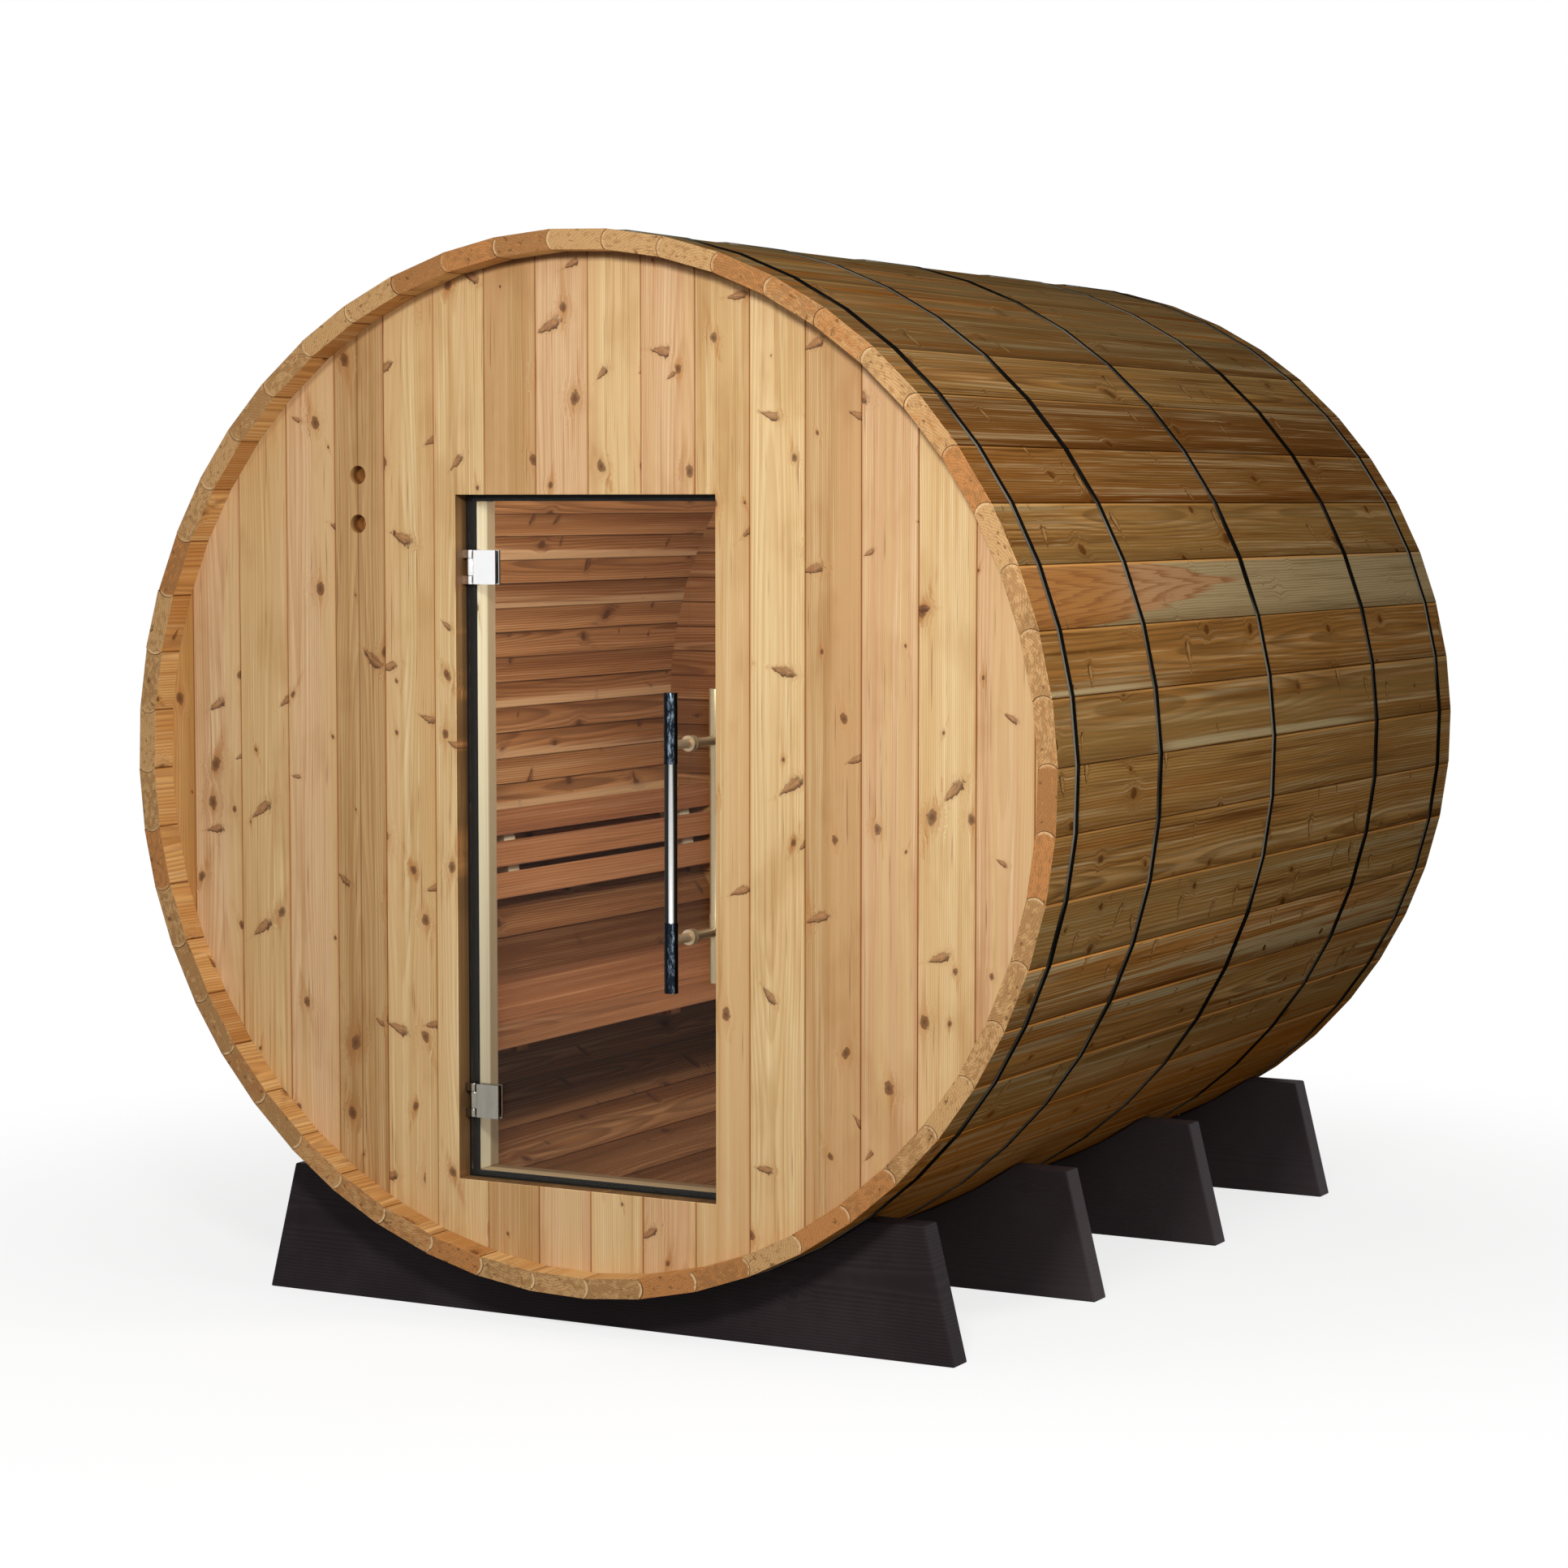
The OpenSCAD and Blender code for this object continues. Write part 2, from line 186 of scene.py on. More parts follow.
def startMaterial(name):
    material = bpy.data.materials.new(name)
    material.use_nodes = True
    tree = material.node_tree
    shader = tree.nodes["Principled BSDF"]
    place = Sock(tree, tree.nodes.new("ShaderNodeTexCoord").outputs["Object"])
    return material, shader, place


def bumped(height, strength, distance):
    values = {"Height": height, "Strength": strength, "Distance": distance}
    return height.make("ShaderNodeBump", {}, values)


def newPiece(name, bm, body):
    mesh = bpy.data.meshes.new(name)
    bm.to_mesh(mesh)
    bm.free()
    piece = bpy.data.objects.new(name, mesh)
    scene.collection.objects.link(piece)
    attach(piece, body)
    return piece


# knots scattered over a board: how far each point lies from its knot, 1 at the knot's edge
def knots(along, across, board, kind):
    cellAcross, cellAlong = kind["cell"]
    spot = joined(across / cellAcross + board * 0.37, along / cellAlong, 0.0)
    cells = spot.make("ShaderNodeTexVoronoi", {"voronoi_dimensions": "2D"}, {"Vector": spot, "Scale": 1.0})
    offset = spot.make(
        "ShaderNodeVectorMath", {"operation": "SUBTRACT"}, {0: spot, 1: cells.out("Position")}
    )
    sideways, lengthways = parted(offset)[:2]
    sizeDie, shareDie, turnDie = parted(cells.out("Color"))
    sideways = sideways * cellAcross
    lengthways = lengthways * cellAlong
    turn = (turnDie - 0.5) * kind["turn"]
    cosine = turn.math("COSINE", turn)
    sine = turn.math("SINE", turn)
    size = sizeDie * kind["spread"] + (1 - kind["spread"] / 2)
    level = (sideways * cosine + lengthways * sine) / (size * kind["across"])
    upright = (lengthways * cosine - sideways * sine) / (size * kind["along"])
    upright = upright / (clamped(level * kind["wedge"] + 0.6) + 0.4)
    ragged = noise(joined(across * 150, along * 110, board), 3.0, 0.6) * 1.3 + 0.35
    reach = root(level * level + upright * upright) * ragged
    return {
        "reach": reach, "present": shareDie < kind["share"], "sideways": sideways,
        "under": smooth(upright, 0.2, -0.6), "trail": root(level * level + upright * upright * 0.02),
        "ray": noise(joined(level * 1.2, upright * 2.6, turnDie * 9)),
    }


# how a board was sawn: growth rings, fibres and knots, in metres
def grain(along, across, depth, board, saw):
    red, green, blue = dice(board * 1.37 + saw["seed"])
    start = along + red * 60
    wander = noise(joined(across * 6, start * 1.3, blue * 9)) - 0.5
    slow = noise(joined(start * 0.8, blue * 5, green * 5)) - 0.5
    knot = knots(start, across, board, saw["knot"])
    reach, present = knot["reach"], knot["present"]
    bent = across - knot["sideways"] * smooth(reach, 4.5, 0.4) * present * 0.85
    pattern = {
        "knot": smooth(reach, 1.25, 0.35) * present,
        "edge": smooth(reach, 0.5, 0.95) * smooth(reach, 1.35, 1.0) * present,
        "halo": smooth(reach, 4.0, 0.7) * present,
        "trail": smooth(knot["trail"], 1.7, 0.3) * present,
        "dice": (red, green, blue),
    }
    if "spike" in saw:
        spike = knots(start + 31, across, board + 7, saw["spike"])
        away, shown = spike["reach"], spike["present"]
        pattern["spike"] = smooth(away, 1.1, 0.8) * shown
        pattern["spikeEdge"] = (
            smooth(away, 0.6, 0.98) * smooth(away, 1.3, 1.02) * shown * (spike["under"] * 0.6 + 0.4)
        )
        pattern["spikeRay"] = smooth(spike["ray"], 0.42, 0.62)
        pattern["spikeUnder"] = pattern["spike"] * spike["under"]
        pattern["spikeHalo"] = smooth(away, 2.6, 0.9) * shown
        bent = bent - spike["sideways"] * smooth(away, 2.4, 0.6) * shown * 0.35
    fromPith = bent - (green - 0.5) * saw["pithSpread"] + wander * saw["wander"]
    pithDepth = blue * saw["pithDepth"] + 0.012 + slow * saw["taper"]
    ring = root(fromPith * fromPith + pithDepth * pithDepth) / saw["ringPitch"] + wander * 1.2
    phase = fraction(ring)
    pattern["line"] = smooth(phase, 0.15, 0.85) * smooth(phase, 1.0, 0.88)
    pattern["fibre"] = noise(joined(across * 520, start * 8, depth * 520), 3.0, 0.65)
    pattern["streak"] = noise(joined(bent * 60, start * 0.9, depth * 40), 3.0, 0.55)
    pattern["fine"] = noise(joined(bent * 210, start * 2.4, depth * 150), 3.0, 0.6)
    pattern["tone"] = noise(joined(bent * 24, start * 0.6, green * 30), 2.0, 0.5)
    return pattern


# the same way of sawing with more knots in it
def crowded(saw, more):
    raised = dict(saw)
    for kind in ("knot", "spike"):
        raised[kind] = {**saw[kind], "share": more + saw[kind]["share"]}
    return raised


def stained(saw, tint):
    red, green = saw["dice"][:2]
    body = mixed(smooth(saw["tone"] + red * 0.3 - 0.15, 0.3, 0.7), tint["pale"], tint["warm"])
    body = mixed(smooth(green, 0.4, 1.0) * tint["deepShare"], body, tint["deep"])
    body = mixed(smooth(saw["streak"], 0.5, 0.72) * tint["streakShare"], body, tint["streak"])
    body = mixed(smooth(saw["streak"], 0.46, 0.28) * tint["shadeShare"], body, tint["deep"])
    body = mixed(smooth(saw["fine"], 0.54, 0.7) * tint["fineShare"], body, tint["streak"])
    body = mixed(smooth(saw["fine"], 0.44, 0.3) * tint["fineShare"], body, tint["line"])
    body = mixed(saw["line"] * tint["lineShare"], body, tint["line"])
    body = mixed(smooth(saw["fibre"], 0.5, 0.75) * tint["fibreShare"], body, tint["line"])
    body = mixed(saw["trail"] * smooth(saw["fine"], 0.6, 0.42) * 0.65, body, tint["halo"])
    body = mixed(saw["halo"] * 0.45, body, tint["halo"])
    if "spike" in saw:
        body = mixed(saw["spikeHalo"] * 0.25, body, tint["halo"])
        rays = mixed(saw["spikeRay"], tint["spike"], tint["spikeRay"])
        body = mixed(saw["spike"] * tint["spikeShare"], body, rays)
        body = mixed(saw["spikeUnder"] * tint["underShare"], body, tint["edge"])
        body = mixed(saw["spikeEdge"] * 0.85, body, tint["edge"])
    body = mixed(saw["knot"] * 0.85, body, tint["knot"])
    return mixed(saw["edge"] * 0.5, body, tint["edge"])


def bareOf(saw):
    return 1 - clamped(saw["knot"] + saw["edge"] + saw["spike"] + saw["spikeEdge"])


def reliefOf(saw):
    relief = saw["fibre"] * 0.5 - saw["line"] * 0.35 - saw["edge"] * 0.6
    return relief + saw["spike"] * 0.9 - saw["spikeEdge"] * 0.6 if "spike" in saw else relief


# what every timber finish ends with: colour, roughness, gloss and relief
def planed(shader, body, saw, rough, gloss, relief, depth=0.001):
    body.feed(shader, "Base Color")
    (saw["fibre"] * 0.2 + rough).feed(shader, "Roughness")
    shader.inputs["Specular IOR Level"].default_value = gloss
    bumped(reliefOf(saw), relief, depth).feed(shader, "Normal")


staveCount = 52
stave = {
    "pitch": math.radians(360 / staveCount),
    "firstJoint": math.radians(1.9),
    "thickness": 0.035,
    "beadHeight": 0.008,
    "beadShoulder": 0.001,
    "ease": 0.0009,
    "endEase": 0.0005,
    "uneven": 0.0022,
    "cornerLength": 0.03,
    "cornerAngle": math.radians(70),
    "flatAngle": math.radians(0.4),
    "paleStave": 2.0,
    "paleEdges": ((0.0, -0.62, 0.62), (1.0, -1.2, -0.4)),
    "lowZone": (1.0, 0.62),  # heights between which the staves get more knots and bright joints
    "lowCrowd": 0.35,
    "underZone": (0.56, 0.2),
    "topZone": (1.5, 1.86),
    "grooveFoot": 0.62,
    "belowBenchTone": (0.56, 0.52, 0.52, 1),
    "saw": {
        "seed": 3.0, "pithSpread": 0.2, "pithDepth": 0.05, "taper": 0.06, "wander": 0.018,
        "ringPitch": 0.0048,
        "knot": {"cell": (0.115, 0.3), "share": 0.6, "across": 0.006, "along": 0.008, "spread": 1.1,
                 "turn": 1.2, "wedge": 0.0},
        "spike": {"cell": (0.105, 0.15), "share": 0.5, "across": 0.0135, "along": 0.005, "spread": 1.3,
                  "turn": 0.9, "wedge": 0.55},
    },
    "outside": {
        "pale": paint(156, 115, 62), "warm": paint(146, 90, 37), "deep": paint(99, 56, 18),
        "streak": paint(190, 162, 118), "line": paint(66, 38, 13), "halo": paint(112, 68, 28),
        "knot": paint(82, 50, 22), "edge": paint(62, 37, 15), "spike": paint(172, 134, 84),
        "spikeRay": paint(140, 100, 56), "sap": paint(162, 142, 104), "sapLine": paint(128, 104, 68),
        "spikeShare": 0.65, "underShare": 0.35, "tongueLine": paint(124, 72, 34),
        "olive": paint(134, 109, 63), "upperHighlight": paint(202, 144, 78), "orange": paint(156, 102, 50),
        "pink": paint(164, 122, 84), "upperHighlightLow": paint(236, 160, 80), "underside": paint(166, 98, 20),
        "dullTop": paint(110, 94, 61), "lowerEdge": (0.42, 0.34, 0.26, 1), "joint": (0.22, 0.16, 0.1, 1),
        "deepShare": 0.8, "streakShare": 0.6, "shadeShare": 0.9, "fineShare": 0.5, "lineShare": 0.45,
        "fibreShare": 0.3,
    },
    "inside": {
        "pale": paint(198, 140, 88), "warm": paint(168, 110, 63), "deep": paint(126, 80, 45),
        "streak": paint(218, 170, 118), "line": paint(96, 57, 34), "halo": paint(120, 76, 46),
        "knot": paint(90, 54, 30), "edge": paint(66, 38, 22), "spike": paint(130, 84, 50),
        "spikeRay": paint(108, 66, 38), "spikeShare": 0.7, "underShare": 0.3,
        "sap": paint(216, 176, 130), "lowerEdge": (0.56, 0.48, 0.42, 1), "joint": (0.22, 0.16, 0.12, 1),
        "deepShare": 0.85, "streakShare": 0.5, "shadeShare": 0.6, "fineShare": 0.4, "lineShare": 0.5,
        "fibreShare": 0.2,
    },
    "rim": {
        "pale": paint(222, 176, 112), "warm": paint(204, 148, 84), "deep": paint(176, 118, 60),
        "streak": paint(234, 200, 146), "line": paint(136, 84, 40), "halo": paint(146, 92, 46),
        "knot": paint(104, 64, 34), "edge": paint(78, 46, 24), "spike": paint(140, 92, 50),
        "spikeRay": paint(112, 70, 38), "spikeShare": 0.7, "underShare": 0.3,
        "joint": (0.4, 0.26, 0.15, 1),
        "deepShare": 0.8, "streakShare": 0.4, "shadeShare": 0.5, "fineShare": 0.25, "lineShare": 0.45,
        "fibreShare": 0.2,
    },
    "end": {
        "pale": paint(202, 160, 108), "warm": paint(190, 130, 76), "deep": paint(148, 106, 64),
        "line": paint(132, 84, 44), "dark": paint(92, 56, 28), "crescent": paint(224, 190, 142),
        "joint": (0.3, 0.2, 0.12, 1), "ringPitch": 0.0046, "crescentZone": (0.6, 0.25),
    },
}
staveFlat = barrelRadius * math.cos(stave["pitch"] / 2)
staveMiddle = staveFlat - stave["thickness"] / 2
jointThickness = stave["thickness"] / math.cos(stave["pitch"] / 2)
jointRadius = barrelRadius - jointThickness / 2
beadHalf = jointThickness / 2 - stave["beadShoulder"]
beadRadius = (beadHalf ** 2 + stave["beadHeight"] ** 2) / (2 * stave["beadHeight"])


def staveCoordinates(place):
    x, y, z = parted(place)
    up = z - axisZ
    turn = up.math("ARCTAN2", up, x) - stave["firstJoint"]
    number = math.floor(turn / stave["pitch"])
    counted = number.math("FLOORED_MODULO", number, float(staveCount))
    radius = root(x * x + up * up)
    fromJoint = turn - number * stave["pitch"]
    lean = fromJoint - stave["pitch"] / 2
    return {
        "number": counted, "along": y, "height": z,
        "across": radius * lean.math("SINE", lean), "depth": radius * lean.math("COSINE", lean),
        "beside": radius * fromJoint.math("COSINE", fromJoint) - jointRadius,
        "above": radius * fromJoint.math("SINE", fromJoint) - (stave["beadHeight"] - beadRadius),
    }


def staveGrain(at, sawn):
    saw = grain(at["along"], at["across"], at["depth"], at["number"], sawn)
    width = staveFlat * math.tan(stave["pitch"] / 2) * 2
    saw["lean"] = at["across"] / width + 0.5
    saw["toJoint"] = at["depth"] * math.tan(stave["pitch"] / 2) - abs(at["across"])
    return saw


def staveOutside():
    material, shader, place = startMaterial("stave_weathered")
    at = staveCoordinates(place)
    low = smooth(at["height"], *stave["lowZone"])
    saw = staveGrain(at, crowded(stave["saw"], low * stave["lowCrowd"]))
    tint = stave["outside"]
    red, blue = saw["dice"][0], saw["dice"][2]
    body = stained(saw, tint)
    bare = bareOf(saw)
    body = mixed(smooth(blue, 0.45, 0.9) * smooth(saw["tone"], 0.3, 0.6) * bare * 0.55, body, tint["olive"])
    # pale sapwood runs along some staves, and one stave is nearly all sapwood
    chosen = smooth(abs(at["number"] - stave["paleStave"]), 0.6, 0.4)
    figure = noise(joined(at["across"] * 42, at["along"] * 0.7, at["number"] * 3.3), 3.0, 0.6)
    sap = mixed(saw["line"] * 0.5, tint["sap"], tint["sapLine"])
    sap = mixed(smooth(saw["fine"], 0.5, 0.34) * 0.75, sap, tint["sapLine"])
    body = mixed(smooth(figure + low * 0.08, 0.6, 0.72) * bare * (low * 0.25 + 0.6), body, sap)
    # its heartwood comes to a point
    tongue = at["along"] * -0.75 + (figure - 0.5) * 0.5 - abs(saw["lean"] - 0.6)
    ring = fraction(tongue * 8 + saw["tone"] * 2)
    heart = mixed(smooth(at["along"], -0.75, -0.45), tint["orange"], tint["pink"])
    heart = mixed(smooth(ring, 0.4, 0.9) * smooth(ring, 1.0, 0.93) * 0.7, heart, tint["tongueLine"])
    heart = mixed(saw["spikeUnder"] * 0.6, heart, tint["edge"])
    body = mixed(chosen * 0.92, body, mixed(smooth(tongue, -0.03, 0.02) * 0.9, sap, heart))
    # each stave is darker towards its lower edge and has a painted highlight along its upper edge
    body = darkened(smooth(saw["lean"], 0.3, 0.0) * 0.55, body, tint["lowerEdge"])
    upperHighlight = smooth(saw["lean"], 0.94, 0.98) * clamped(red * 0.5 + 0.4 + low * 0.3) * smooth(figure, 0.3, 0.55)
    body = mixed(upperHighlight, body, mixed(low, tint["upperHighlight"], tint["upperHighlightLow"]))
    # two staves below the pale one have a thin pale lower edge
    for number, start, end in stave["paleEdges"]:
        edged = smooth(abs(at["number"] - number), 0.6, 0.4) * smooth(saw["lean"], 0.01, 0.05)
        edged = edged * smooth(saw["lean"] + (figure - 0.5) * 0.3, 0.16, 0.1)
        edged = edged * smooth(at["along"], start, start + 0.15) * smooth(at["along"], end, end - 0.3)
        body = mixed(edged * 0.9, body, tint["sap"])
    body = darkened(smooth(saw["toJoint"], 0.002, 0.0006) * 0.85, body, tint["joint"])
    # the staves are more orange near the underside and duller near the top
    body = mixed(smooth(at["height"], *stave["underZone"]) * 0.5, body, tint["underside"])
    dull = smooth(at["height"], *stave["topZone"]) * smooth(figure, 0.3, 0.62)
    body = mixed(dull * 0.75, body, tint["dullTop"])
    planed(shader, body, saw, rough=0.6, gloss=0.0, relief=0.5, depth=0.0015)
    return material


# inside, a groove along the middle of each stave above the bench makes it look like two narrow boards
def staveInside():
    material, shader, place = startMaterial("stave_cabin")
    at = staveCoordinates(place)
    tint = stave["inside"]
    grooved = at["height"] > stave["grooveFoot"]
    at["number"] = at["number"] + (at["across"] > 0.0) * grooved * 0.5
    saw = staveGrain(at, stave["saw"])
    body = stained(saw, tint)
    # each narrow board is painted lit at its upper edge and shaded towards its lower edge
    half = fraction(saw["lean"] * (grooved + 1))
    body = darkened(smooth(half, 0.75, 0.1) * 0.7, body, tint["lowerEdge"])
    sapwood = smooth(saw["dice"][2], 0.62, 0.8) * smooth(half + (saw["streak"] - 0.5) * 0.9, 0.6, 0.8)
    body = mixed(sapwood * grooved * 0.6, body, tint["sap"])
    # below the groove's foot the staves are darker
    body = darkened(1 - grooved, body, stave["belowBenchTone"])
    toGroove = abs(at["across"]) + (1 - grooved)
    seam = clamped(smooth(saw["toJoint"], 0.0024, 0.0008) + smooth(toGroove, 0.0018, 0.0006))
    body = darkened(seam * 0.85, body, tint["joint"])
    planed(shader, body, saw, rough=0.5, gloss=0.1, relief=0.3)
    return material


def staveRim():
    material, shader, place = startMaterial("stave_rim")
    tint = stave["rim"]
    saw = staveGrain(staveCoordinates(place), stave["saw"])
    body = stained(saw, tint)
    body = darkened(smooth(saw["toJoint"], 0.003, 0.0008) * 0.8, body, tint["joint"])
    planed(shader, body, saw, rough=0.5, gloss=0.15, relief=0.3)
    return material


# sawn end of a stave: arcs of growth rings and short rays, with a painted highlight along the edge of its
# bead
def staveEnd():
    material, shader, place = startMaterial("stave_end_grain")
    at = staveCoordinates(place)
    tint = stave["end"]
    across, depth = at["across"], at["depth"]
    fromBead = root(at["beside"] * at["beside"] + at["above"] * at["above"]) - beadRadius
    number = at["number"] - (fromBead < 0.00015)
    red, green, blue = dice(number * 2.11 + 5)
    sideways = across - (red - 0.5) * 0.14
    up = depth - staveMiddle + green * 0.10 + 0.015
    ragged = noise(joined(across * 60, depth * 60, number * 3.1)) * 0.009
    ring = fraction((root(sideways * sideways + up * up) + ragged) / tint["ringPitch"])
    speck = noise(joined(across * 420, depth * 420, number), 3.0, 0.7)
    blotch = noise(joined(across * 45, depth * 90, number * 1.7), 3.0, 0.65)
    warmth = blotch + smooth(blue, 0.45, 0.95) * 0.6 - 0.3
    body = mixed(smooth(warmth, 0.25, 0.7), tint["pale"], tint["warm"])
    mottle = noise(joined(across * 80, depth * 120, number * 2.3), 3.0, 0.6)
    body = mixed(smooth(mottle + red * 0.3 - 0.15, 0.4, 0.6) * 0.6, body, tint["deep"])
    rot = noise(joined(across * 75, depth * 95, number * 4.1), 2.0, 0.5)
    body = mixed(smooth(rot, 0.64, 0.72) * 0.65, body, tint["dark"])
    line = smooth(ring, 0.25, 0.9) * smooth(ring, 1.0, 0.92)
    body = mixed(line * 0.3, body, tint["line"])
    body = mixed(smooth(speck, 0.5, 0.7) * 0.4, body, tint["dark"])
    # the pale crescent along the bead is a painted highlight, stronger low on the barrel
    pale = smooth(fromBead, -0.0062, -0.0026) * smooth(fromBead, 0.0001, -0.0006) * smooth(blotch, 0.3, 0.5)
    crescentHighlight = green * 0.6 + 0.15 + smooth(at["height"], *tint["crescentZone"]) * 0.5
    body = mixed(pale * clamped(crescentHighlight), body, tint["crescent"])
    body = darkened(smooth(abs(fromBead), 0.0011, 0.0003) * 0.75, body, tint["joint"])
    body.feed(shader, "Base Color")
    (speck * 0.2 + 0.6).feed(shader, "Roughness")
    shader.inputs["Specular IOR Level"].default_value = 0.1
    bumped(speck - line * 0.5, 0.4, 0.001).feed(shader, "Normal")
    return material


# a copy of the staves with eased edges and ends that don't quite line up
def easedStaves(name, source, seed):
    chance = random.Random(seed)
    bm = bmesh.new()
    bm.from_mesh(nodes[source].data)
    bmesh.ops.remove_doubles(bm, verts=bm.verts[:], dist=weldGap)
    bmesh.ops.dissolve_limit(bm, angle_limit=stave["flatAngle"], verts=bm.verts[:], edges=bm.edges[:])
    left = [
        face for face in bm.faces
        if abs(face.normal.y) > 0.99 and abs(face.calc_center_median().y) > halfLength - 0.001
    ]
    while left:
        end = [left.pop()]
        for face in end:
            beside = {other for edge in face.edges for other in edge.link_faces}
            end.extend(other for other in left if other in beside)
            left = [other for other in left if other not in beside]
        inward = -1 if end[0].normal.y > 0 else 1
        back = chance.uniform(0, stave["uneven"])
        ring = bmesh.ops.inset_region(
            bm, faces=end, thickness=stave["endEase"], use_even_offset=True, use_boundary=True
        )
        inner = {vert for face in end for vert in face.verts}
        outer = {vert for part in ring["faces"] for vert in part.verts} - inner
        bmesh.ops.translate(bm, verts=list(inner), vec=(0, inward * back, 0))
        bmesh.ops.translate(bm, verts=list(outer), vec=(0, inward * (back + stave["endEase"]), 0))
    corners = [
        edge for edge in bm.edges
        if abs(edge.verts[0].co.y - edge.verts[1].co.y) > stave["cornerLength"]
        and len(edge.link_faces) == 2 and edge.calc_face_angle() > stave["cornerAngle"]
    ]
    bmesh.ops.bevel(
        bm, geom=corners, offset=stave["ease"], affect="EDGES", segments=1, profile=0.5, material=-1,
        clamp_overlap=True,
    )
    bm.normal_update()
    # finishes in the order of staveFinishes: outside, cabin, rim and end grain
    for face in bm.faces:
        centre = face.calc_center_median()
        outward = Vector((centre.x, 0, centre.z - axisZ)).normalized()
        if abs(centre.y) > halfLength - 0.005:
            face.material_index = 3
        elif face.normal.dot(outward) > 0.4:
            face.material_index = 0
        elif abs(centre.y) < -wallFront:
            face.material_index = 1
        else:
            face.material_index = 2
    piece = newPiece(name, bm, "cabin")
    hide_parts(source)
    return piece


staveFinishes = (staveOutside(), staveInside(), staveRim(), staveEnd())
for seed, side in enumerate(("floor", "left", "right", "roof")):
    staves = easedStaves(side + "_stave_boards", side + "_staves", seed)
    for finish in staveFinishes:
        staves.data.materials.append(finish)
print("stage: staves eased")

bench = {
    "slat": 0.0915,
    "bracket": 0.5,
    "saw": {
        "seed": 23.0, "pithSpread": 0.2, "pithDepth": 0.06, "taper": 0.05, "wander": 0.012,
        "ringPitch": 0.004,
        "knot": {"cell": (0.2, 0.5), "share": 0.3, "across": 0.004, "along": 0.006, "spread": 1.0,
                 "turn": 1.0, "wedge": 0.0},
    },
    "tint": {
        "pale": paint(173, 116, 75), "warm": paint(151, 96, 61), "deep": paint(121, 74, 46),
        "streak": paint(198, 148, 106), "line": paint(90, 52, 29), "halo": paint(114, 70, 40),
        "knot": paint(90, 54, 32), "edge": paint(70, 42, 26),
        "deepShare": 0.6, "streakShare": 0.5, "shadeShare": 0.5, "fineShare": 0.3, "lineShare": 0.35,
        "fibreShare": 0.2,
    },
}

# board finishes: h honey, c cream, o olive, p pink, r the doorway's reveals, dark brown as painted shade, b
# the backs
# kinds names those of the boards from the left
board = {
    "width": 0.105,
    "joint": 0.011,
    "gap": 0.0008,
    "ease": 0.0013,
    "segments": 288,
    "lining": 0.055,
    "housed": 0.009,
    "rimGap": 0.002,
    "narrowest": 0.006,
    "shortest": 0.03,
    "ventSegments": 64,
    "drillLength": 0.2,
    "finishes": "hcoprb",
    "kinds": "hpcpoccopcpccopcpc",
    "firstKind": -9,
    "crackedBoard": -5.0,
    "crowd": 0.3,
    "crowdZone": (-0.15, -0.4),  # across the wall, where more knots begin and where all are there
    "rearBoards": 41,  # added to a rear board's number, so that its grain differs
    "saw": {
        "seed": 11.0, "pithSpread": 0.26, "pithDepth": 0.05, "taper": 0.05, "wander": 0.014,
        "ringPitch": 0.0036,
        "knot": {"cell": (0.105, 0.17), "share": 0.58, "across": 0.0046, "along": 0.0066, "spread": 1.5,
                 "turn": 1.0, "wedge": 0.0},
        "spike": {"cell": (0.105, 0.31), "share": 0.46, "across": 0.0155, "along": 0.0054, "spread": 0.9,
                  "turn": 1.7, "wedge": 0.5},
    },
    "shares": {
        "deepShare": 0.6, "streakShare": 0.6, "shadeShare": 0.8, "fineShare": 0.6, "lineShare": 0.36,
        "fibreShare": 0.18,
        "halo": paint(180, 122, 66), "knot": paint(92, 56, 32), "edge": paint(72, 42, 24),
        "spike": paint(172, 120, 76), "spikeRay": paint(128, 82, 50), "resin": paint(126, 82, 48),
        "spikeShare": 0.75, "underShare": 0.25,
        "cloud": (0.84, 0.77, 0.68, 1), "dull": (0.86, 0.82, 0.78, 1), "bored": (0.42, 0.32, 0.24, 1),
        "nearJoint": (0.88, 0.62, 0.42, 1), "joint": (0.5, 0.36, 0.25, 1), "rimShadow": (0.34, 0.25, 0.18, 1),
    },
    "lined": {"joint": (0.25, 0.18, 0.14, 1)},
    "c": {
        "pale": paint(222, 190, 138), "warm": paint(210, 172, 118), "deep": paint(194, 152, 98),
        "streak": paint(234, 210, 162), "line": paint(184, 136, 82), "other": paint(214, 174, 124),
    },
    "o": {
        "pale": paint(208, 170, 117), "warm": paint(196, 154, 102), "deep": paint(178, 136, 85),
        "streak": paint(218, 186, 138), "line": paint(162, 116, 68), "other": paint(202, 158, 110),
    },
    "p": {
        "pale": paint(220, 182, 138), "warm": paint(212, 169, 124), "deep": paint(196, 150, 104),
        "streak": paint(230, 200, 156), "line": paint(180, 130, 84), "other": paint(212, 176, 122),
    },
    "h": {
        "pale": paint(204, 158, 98), "warm": paint(190, 140, 78), "deep": paint(172, 120, 62),
        "streak": paint(216, 176, 118), "line": paint(154, 104, 52), "other": paint(196, 146, 84),
    },
    # the doorway's reveals, dark brown as painted shade
    "r": {
        "pale": paint(122, 90, 54), "warm": paint(106, 76, 44), "deep": paint(86, 60, 34),
        "streak": paint(136, 104, 66), "line": paint(76, 50, 28), "other": paint(98, 70, 40),
    },
}


